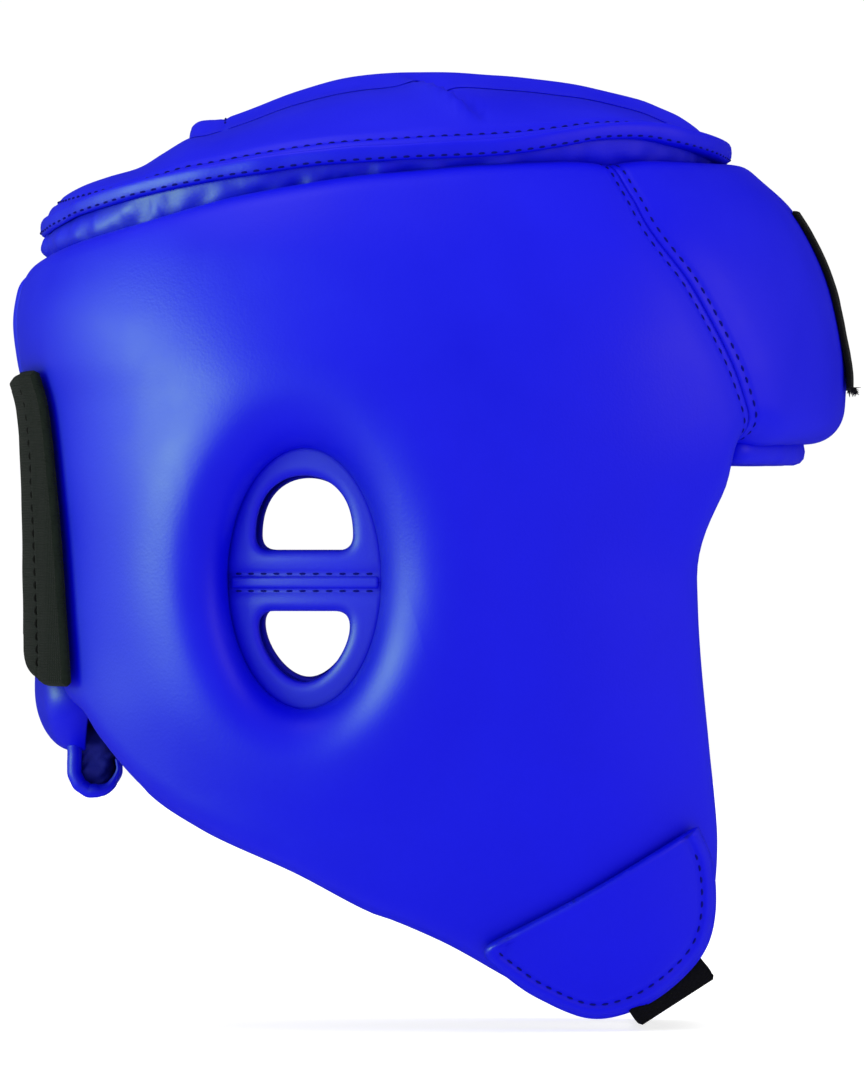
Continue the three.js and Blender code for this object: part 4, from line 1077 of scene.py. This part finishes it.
# ---------- Nape ----------
NAPE_LOW, NAPE_HIGH = -51, 90
NAPE_CLEAR = 2.0  # the gap between the nape pad and each side pad
NAPE_EDGE, NAPE_FOOT = 9, 21  # how far the pad's rounded edges reach, at its sides and top, and at its foot
REAR_INSIDE = (20, 0, 20)  # a place inside the head opening that the rear pieces face away from
rear_gap_at = through([[-51, 24], [-46, 32], [-38, 40], [-30, 40], [-4, 22], [28, 15], [93, 15]])


def nape_place(u, v, extra):
    """A place on the back: u runs across the gap between the side pads, v up it."""
    z = mix(NAPE_LOW, NAPE_HIGH, v)
    y = u * (rear_gap_at(z) + extra)
    return np.pi - np.arcsin(signed_power(y / half_width_at(z), ROUNDNESS / 2)), z


u, v = grid(closer_at_ends(50, 0.6) * 2 - 1, closer_at_ends(110, 0.7))
t, z = nape_place(u, v, -NAPE_CLEAR)
from_side = (1 - np.abs(u)) * rear_gap_at(z)
rise = roll(from_side, NAPE_EDGE) * roll(z - NAPE_LOW, NAPE_FOOT) * roll(NAPE_HIGH - z, NAPE_EDGE)
skin = (REAR_PAD * EDGE_DEPTH - LEATHER) * (1 - rise)
points = shell_point(t, z, skin)
points[..., 0] -= 0.5 * bumps(points, 18) * rise
cover = panel("nape_pad", points, LEATHER, blue_leather, "shell", "nape_cover", "nape_foam",
              centre=REAR_INSIDE)
u, v = grid(np.linspace(-1, 1, 36), np.linspace(0, 1, 70))
points = shell_point(*nape_place(u, v, 8), REAR_PAD + 1.2 + LINING)
panel("nape_inner", points, LINING, blue_lining, "shell", "nape_lining", centre=REAR_INSIDE, face_in=True)

ROLL_CENTRE, ROLL_SIZE = (-60.2, -53.6), (7.4, 8.4)  # the curl's middle and half sizes, in x and z
ROLL_HALF, ROLL_THICK = 22, 4.0
ROLL_RISE = 12  # how far the strip runs straight up behind the nape pad
CORE_SIZE = (6.4, 20, 10)  # half sizes of the gathered lining inside the curl

# The nape's foot: a strip that comes down behind the pad and curls forwards, round a gathered lining.
run, y = grid(np.linspace(0, 1, 60), np.linspace(-1, 1, 64) * ROLL_HALF)
down = np.clip(run / 0.3, 0, 1)
curl = mix(1.0, 2.1, np.clip((run - 0.3) / 0.7, 0, 1)) * np.pi
flat = xyz(run * 40, y, 0)
size = 0.35 * (bumps(flat * [1, 0.4, 1], 3.2) + 0.6 * bumps(flat, 9))
x = ROLL_CENTRE[0] + (ROLL_SIZE[0] + size) * np.cos(curl)
z = ROLL_CENTRE[1] + (ROLL_SIZE[1] + size) * np.sin(curl) + ROLL_RISE * (1 - down)
centre = (ROLL_CENTRE[0], 0, ROLL_CENTRE[1])
thick = ROLL_THICK * (1 - 0.75 * smooth((run - 0.6) / 0.35))
panel("nape_foot", xyz(x, y, z), thick, blue_leather, "shell", "nape_roll", centre=centre)

CORE_TURNS, CORE_RINGS = 90, 60
around = np.linspace(0, 2 * np.pi, CORE_TURNS, endpoint=False)
turn, share = grid(around, np.linspace(-0.99, 0.99, CORE_RINGS))
swell = (1 - np.abs(share) ** 3) ** 0.5
x = ROLL_CENTRE[0] + CORE_SIZE[0] * swell * signed_power(np.cos(turn), 0.6)
y = CORE_SIZE[1] * swell**0.4 * signed_power(np.sin(turn), 0.6)
z = ROLL_CENTRE[1] + 2.5 + CORE_SIZE[2] * share
gathers = 1.1 * bumps(xyz(0.35 * (x + z), 0.5 * y, 1.3 * (x - z)), 3.0) + 0.5 * bumps(xyz(x, y, z), 2.2)
verts = (xyz(x, y, z) + xyz(np.cos(turn), np.sin(turn), 0) * gathers[..., None]).reshape(-1, 3)
faces = facing_out(verts, grid_faces(CORE_TURNS, CORE_RINGS, closed=True), centre)
first_ring = range(0, CORE_TURNS * CORE_RINGS, CORE_RINGS)
last_ring = range(CORE_RINGS - 1, CORE_TURNS * CORE_RINGS, CORE_RINGS)
faces = [*faces, tuple(first_ring), tuple(last_ring)[::-1]]
add_mesh("nape_foot_lining", verts, faces, blue_lining, "shell")

# ---------- Rear strap ----------
SEWN_END, STRAP_HINGE, FREE_END, HINGE_HALF = -0.475, -0.29, 0.475, 0.045  # plan angles from the back
STRAP_ROW = SEWN_END + 0.165  # the row of stitches across the sewn end


def strap_edges(offset):
    """The heights of the strap's lower and upper edges."""
    share = (offset - SEWN_END) / (FREE_END - SEWN_END)
    return mix(-29, -12, smooth(share * 1.1)), mix(58, 53, smooth(share))


def strap_stand(offset):
    """How far the strap's inner face stands off the envelope: sewn close, then over the tapes."""
    end_lift = 0.5 * smooth((SEWN_END + 0.09 - offset) / 0.09)
    return 1.6 + end_lift + 1.8 * smooth((offset - 0.04) / 0.14)


def strap_point(offset, v, lift, margin=0.0):
    """A place on the strap, whose sewn end leans forwards at its foot."""
    offset = offset + mix(-0.095, 0.035, v) * (1 - smooth((offset - SEWN_END) / 0.3))
    low, high = strap_edges(offset)
    z = mix(low + margin, high - margin, v)
    return shell_point(np.pi - offset, z, -strap_stand(offset) - lift)


offset = runs((SEWN_END, -0.42, 14), (-0.42, 0.42, 96), (0.42, FREE_END, 14))
o, v = grid(offset, closer_at_ends(64, 0.5))
thick = STRAP + 0.9 * (1 - smooth((o - STRAP_ROW + 0.025) / 0.02))
wave = 0.25 * bumps(xyz(o * 80, v * 85, 0), 16)
points = strap_point(o, v, thick + wave - 0.25 * bell(o - STRAP_ROW, 0.008))
strap = panel("rear_strap_web", points, thick, black_strap, None, "rear_strap", "rear_strap_anchor",
              centre=REAR_INSIDE)
ends = [tuple(strap_point(STRAP_HINGE + reach, 0.5, 0) * MM) for reach in (-HINGE_HALF, HINGE_HALF)]
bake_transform(strap)
row = strap_point(STRAP_ROW, np.linspace(0.03, 0.97, 120), STRAP + 0.35)
stitches("stitches_rear_strap", [(row, unit(row - REAR_INSIDE))], black_thread, "shell", 2.4, 0.4)


def strap_tape(name, start, end, lift, margin, look, body, replaced):
    points = strap_point(*grid(np.linspace(start, end, 20), np.linspace(0, 1, 50)), lift, margin)
    panel(name, points, TAPE, look, body, replaced, centre=REAR_INSIDE)


strap_tape("rear_hook_tape", 0.22, 0.46, -0.05, 5, black_hook, "rear_strap", "rear_hook")
strap_tape("rear_loop_tape", 0.26, 0.47, -1.2, 3, black_loop, "shell", "rear_loop")

# ---------- Chin tabs ----------
TAB_CENTRE = np.array([84, -99])
TAB_STRAIGHT = curve_through([(109.5, -70), (80, -87.6), (53.4, -101.6)])
TAB_ROUND = curve_through(
    [(53.4, -101.6), (50.8, -103.5), (51.6, -106.4), (56.5, -110.6), (65, -116.5), (79, -122.4)]
    + [(91, -120.8), (102, -114.5), (111, -105), (114.3, -94), (113.6, -80), (109.5, -70)]
)
TAB_FOLLOW = 0.35  # the tab is stiff, so it bridges most of the pad's rounded edge
TAB_STITCH_INSET = 3.4
TAB_INSIDE = (80, 0, -80)  # a place inside the head opening that the tabs face away from
round_edge = xyz(*TAB_ROUND(np.linspace(0, 1, 600)).T, 0)
straight_edge = xyz(*TAB_STRAIGHT(np.linspace(0, 1, 400)).T, 0)


def tab_place(count, share=1.0):
    """A round grid of side-view places over a share of the tab."""
    ring, angle = disc_grid(count)
    outline = np.vstack([round_edge, straight_edge])[:, :2] - TAB_CENTRE
    turn = np.arctan2(outline[:, 1], outline[:, 0])
    order = np.argsort(turn)
    reach = share * ring * np.interp(angle, turn[order], np.hypot(*outline.T)[order], period=2 * np.pi)
    return TAB_CENTRE[0] + reach * np.cos(angle), TAB_CENTRE[1] + reach * np.sin(angle)


def tab_point(x, z, lift, follow=TAB_FOLLOW):
    """A place that stands off the envelope, sinking with the pad's skin as far as follow says."""
    skin, _ = pad_depths(angle_at_x(x, z), z)
    return sunk(x, z, follow * skin - lift)


def tab_face(x, z, lift):
    """The tab's outer face, with a raised rim outside its row of stitches."""
    from_round, from_straight = (nearest(xyz(x, z, 0), edge) for edge in (round_edge, straight_edge))
    from_edge = np.minimum(from_round, from_straight)
    rim = 0.45 * bell(from_round - 1.5, 1.4) - 0.6 * bell(from_round - TAB_STITCH_INSET, 0.9)
    rim = rim + 0.4 * bell(from_straight - 1.4, 1.2) - 0.8 * (1 - roll(from_edge, 1.3))
    return tab_point(x, z, lift + rim + 0.6 * smooth(from_edge / 16))


TAB_LIFTS = {"right": 3.6, "left": 2.2}  # the right one stands on its hook and loop tape
TAB_BODIES = {"right": ("chin_tab", "chin_tab"), "left": ("shell", "chin_strap_anchor")}
x, z = tab_place(80)
stitch_x, stitch_z = beside(TAB_ROUND(np.linspace(0.05, 0.95, 400)), TAB_STITCH_INSET).T
for side, (body, replaced) in TAB_BODIES.items():
    points = tab_face(x, z, TAB_LIFTS[side]) * SIDES[side]
    under = tab_point(x, z, TAB_LIFTS[side] - STRAP) * SIDES[side]
    panel(f"chin_tab_leather_{side}", points, STRAP, blue_leather, body, replaced, centre=TAB_INSIDE,
          back=under)
    row = tab_face(stitch_x, stitch_z, TAB_LIFTS[side]) * SIDES[side]
    up = envelope_normal(angle_at_x(stitch_x, stitch_z), stitch_z) * SIDES[side]
    stitches(f"stitches_chin_{side}", [(row, up)], blue_thread, body)


def tab_tape(name, share, lift, follow, look, body, replaced):
    points = tab_point(*tab_place(30, share), lift, follow) * SIDES["right"]
    panel(name, points, TAPE, look, body, replaced, centre=TAB_INSIDE)


tab_tape("chin_hook_tape", 0.7, 1.65, TAB_FOLLOW, black_hook, "chin_tab", "chin_hook")
tab_tape("chin_loop_tape", 0.76, 0.85, 1.0, black_loop, "shell", "chin_loop")

# ---------- Chin strap ----------
STRAP_X, STRAP_Z, STRAP_HALF, STRAP_SLOPE = 104.9, -119.6, 11.8, 0.56
SPAN_REAR, SPAN_FRONT = 53, 42  # half the strap's span across the jaw, at its rear and front edges
STRAP_BEND = (-7, 1.5)  # distances above and below the webbing's hinges; the points made from them are not used
strap_way = np.array([math.cos(STRAP_SLOPE), 0, math.sin(STRAP_SLOPE)])
strap_down = np.array([math.sin(STRAP_SLOPE), 0, -math.cos(STRAP_SLOPE)])
strap_track = curve_through([(0, 0), (0.45, 0), (0.8, 0.5), (0.95, 1.6), (1.02, 4.5), (1.03, 9), (1.01, 15)])


def web_point(s, across):
    """The webbing's outer face on the left side: s runs from under the chin to under the tab."""
    place = strap_track(s)
    y = place[..., 0] * mix(SPAN_REAR, SPAN_FRONT, across)
    centre = np.array([STRAP_X, 0, STRAP_Z]) + (2 * across - 1)[..., None] * STRAP_HALF * strap_way
    return centre - place[..., 1:] * strap_down + xyz(0, y, 0)


web = web_point(*grid(np.linspace(0, 1, 90), np.linspace(0, 1, 26)))
for side, first in (("left", "shell"), ("right", "chin_tab")):
    # The webbing's darker colours are painted shade under the chin.
    piece = panel(f"chin_web_{side}", web * SIDES[side], STRAP, black_web_painted_shade, None, "chin_strap",
                  centre=(104, 0, -90))
    hinge = JOINTS["chin_strap_swing"] * SIDES[side]
    ends = [tuple((hinge + strap_down * reach) * MM) for reach in STRAP_BEND]
    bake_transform(piece)

# The CAD's own tapes behind the guards' seams are seen as they are, in the lining's look.
for side in SIDES:
    tape = bpy.data.objects[f"ear_seam_tape_{side}"]
    tape.data.materials.clear()
    tape.data.materials.append(blue_lining)

# ---------- Camera, light and floor ----------
SCENE_SCALE = 0.284  # mm of the object's middle plane for each pixel of the frame
VIEW_CENTRE = (35.5, 0.0, 10.8)
VIEW_DISTANCE = 4000.0
SENSOR = 36.0
camera_data = bpy.data.cameras.new("camera")
camera_data.sensor_width = SENSOR
camera_data.lens = SENSOR * VIEW_DISTANCE / (PHOTO_SIZE[1] * SCENE_SCALE)
camera_data.clip_end = 30  # metres
camera = bpy.data.objects.new("camera", camera_data)
camera.location = np.array([VIEW_CENTRE[0], VIEW_CENTRE[1] - VIEW_DISTANCE, VIEW_CENTRE[2]]) * MM
camera.rotation_euler = (math.pi / 2, 0, 0)
bpy.context.scene.collection.objects.link(camera)
bpy.context.scene.camera = camera


def area_light(name, place, target, size, power, colour, receivers):
    """A round lamp, placed and sized in metres, that lights only its receivers."""
    data = bpy.data.lights.new(name, "AREA")
    data.shape = "DISK"
    data.size = size
    data.energy = power
    data.color = colour
    lamp = bpy.data.objects.new(name, data)
    lamp.location = place
    lamp.rotation_euler = (Vector(target) - Vector(place)).to_track_quat("-Z", "Y").to_euler()
    bpy.context.scene.collection.objects.link(lamp)
    lamp.light_linking.receiver_collection = receivers


# The leather's broad highlights come from lamps of their own, so that the tapes stay dull black.
glossy_pieces = bpy.data.collections.new("leather_pieces")
guards = bpy.data.collections.new("ear_guards")
dull_pieces = bpy.data.collections.new("dull_pieces")
for piece in bpy.context.scene.objects:
    look = piece.data.materials[0] if piece.type == "MESH" and piece.data.materials else None
    (glossy_pieces if look in (blue_leather, guard_leather) else dull_pieces).objects.link(piece)
    if look == guard_leather:
        guards.objects.link(piece)
area_light("rear_softbox", (-1.75, -0.8, 0.0), (0, 0, 0.02), 1.3, 300, (0.55, 1.0, 0.0), glossy_pieces)
area_light("front_softbox", (1.7, -0.8, 0.5), (0.05, 0, 0), 1.0, 22, (1.0, 0.7, 0.0), glossy_pieces)
area_light("top_softbox", (-0.5, -0.4, 1.7), (0, 0, 0), 1.0, 25, (0.6, 0.5, 0.52), glossy_pieces)
area_light("ear_softbox", (-1.2, -1.7, -0.3), (0, 0, 0), 1.0, 60, (0.6, 1.0, 0.0), guards)
area_light("fill_softbox", (-1.4, -1.3, 0.6), (0, 0, 0), 1.0, 9, (0.7, 1.0, 0.75), dull_pieces)

world = bpy.data.worlds.new("world")
bpy.context.scene.world = world
world.use_nodes = True
background = world.node_tree.nodes["Background"]
background.inputs["Color"].default_value = (1, 1, 1, 1)
background.inputs["Strength"].default_value = 1.02
world.cycles_visibility.glossy = False

floor_mesh = bpy.data.meshes.new("floor")
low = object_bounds()[0][2] - MM
floor_corners = [(-4, -5, low), (4, -5, low), (4, 4, low), (-4, 4, low)]
floor_mesh.from_pydata(floor_corners, [], [(0, 1, 2, 3)])
floor = bpy.data.objects.new("floor", floor_mesh)
bpy.context.scene.collection.objects.link(floor)
floor_material, _, floor_shader = material("floor", (0.6, 0.6, 0.6), 0.9, 0.1)
floor_shader.inputs["Emission Color"].default_value = (1, 1, 1, 1)
floor_shader.inputs["Emission Strength"].default_value = 0.75
floor_mesh.materials.append(floor_material)
floor.visible_glossy = False

bpy.context.scene.view_settings.view_transform = "Standard"
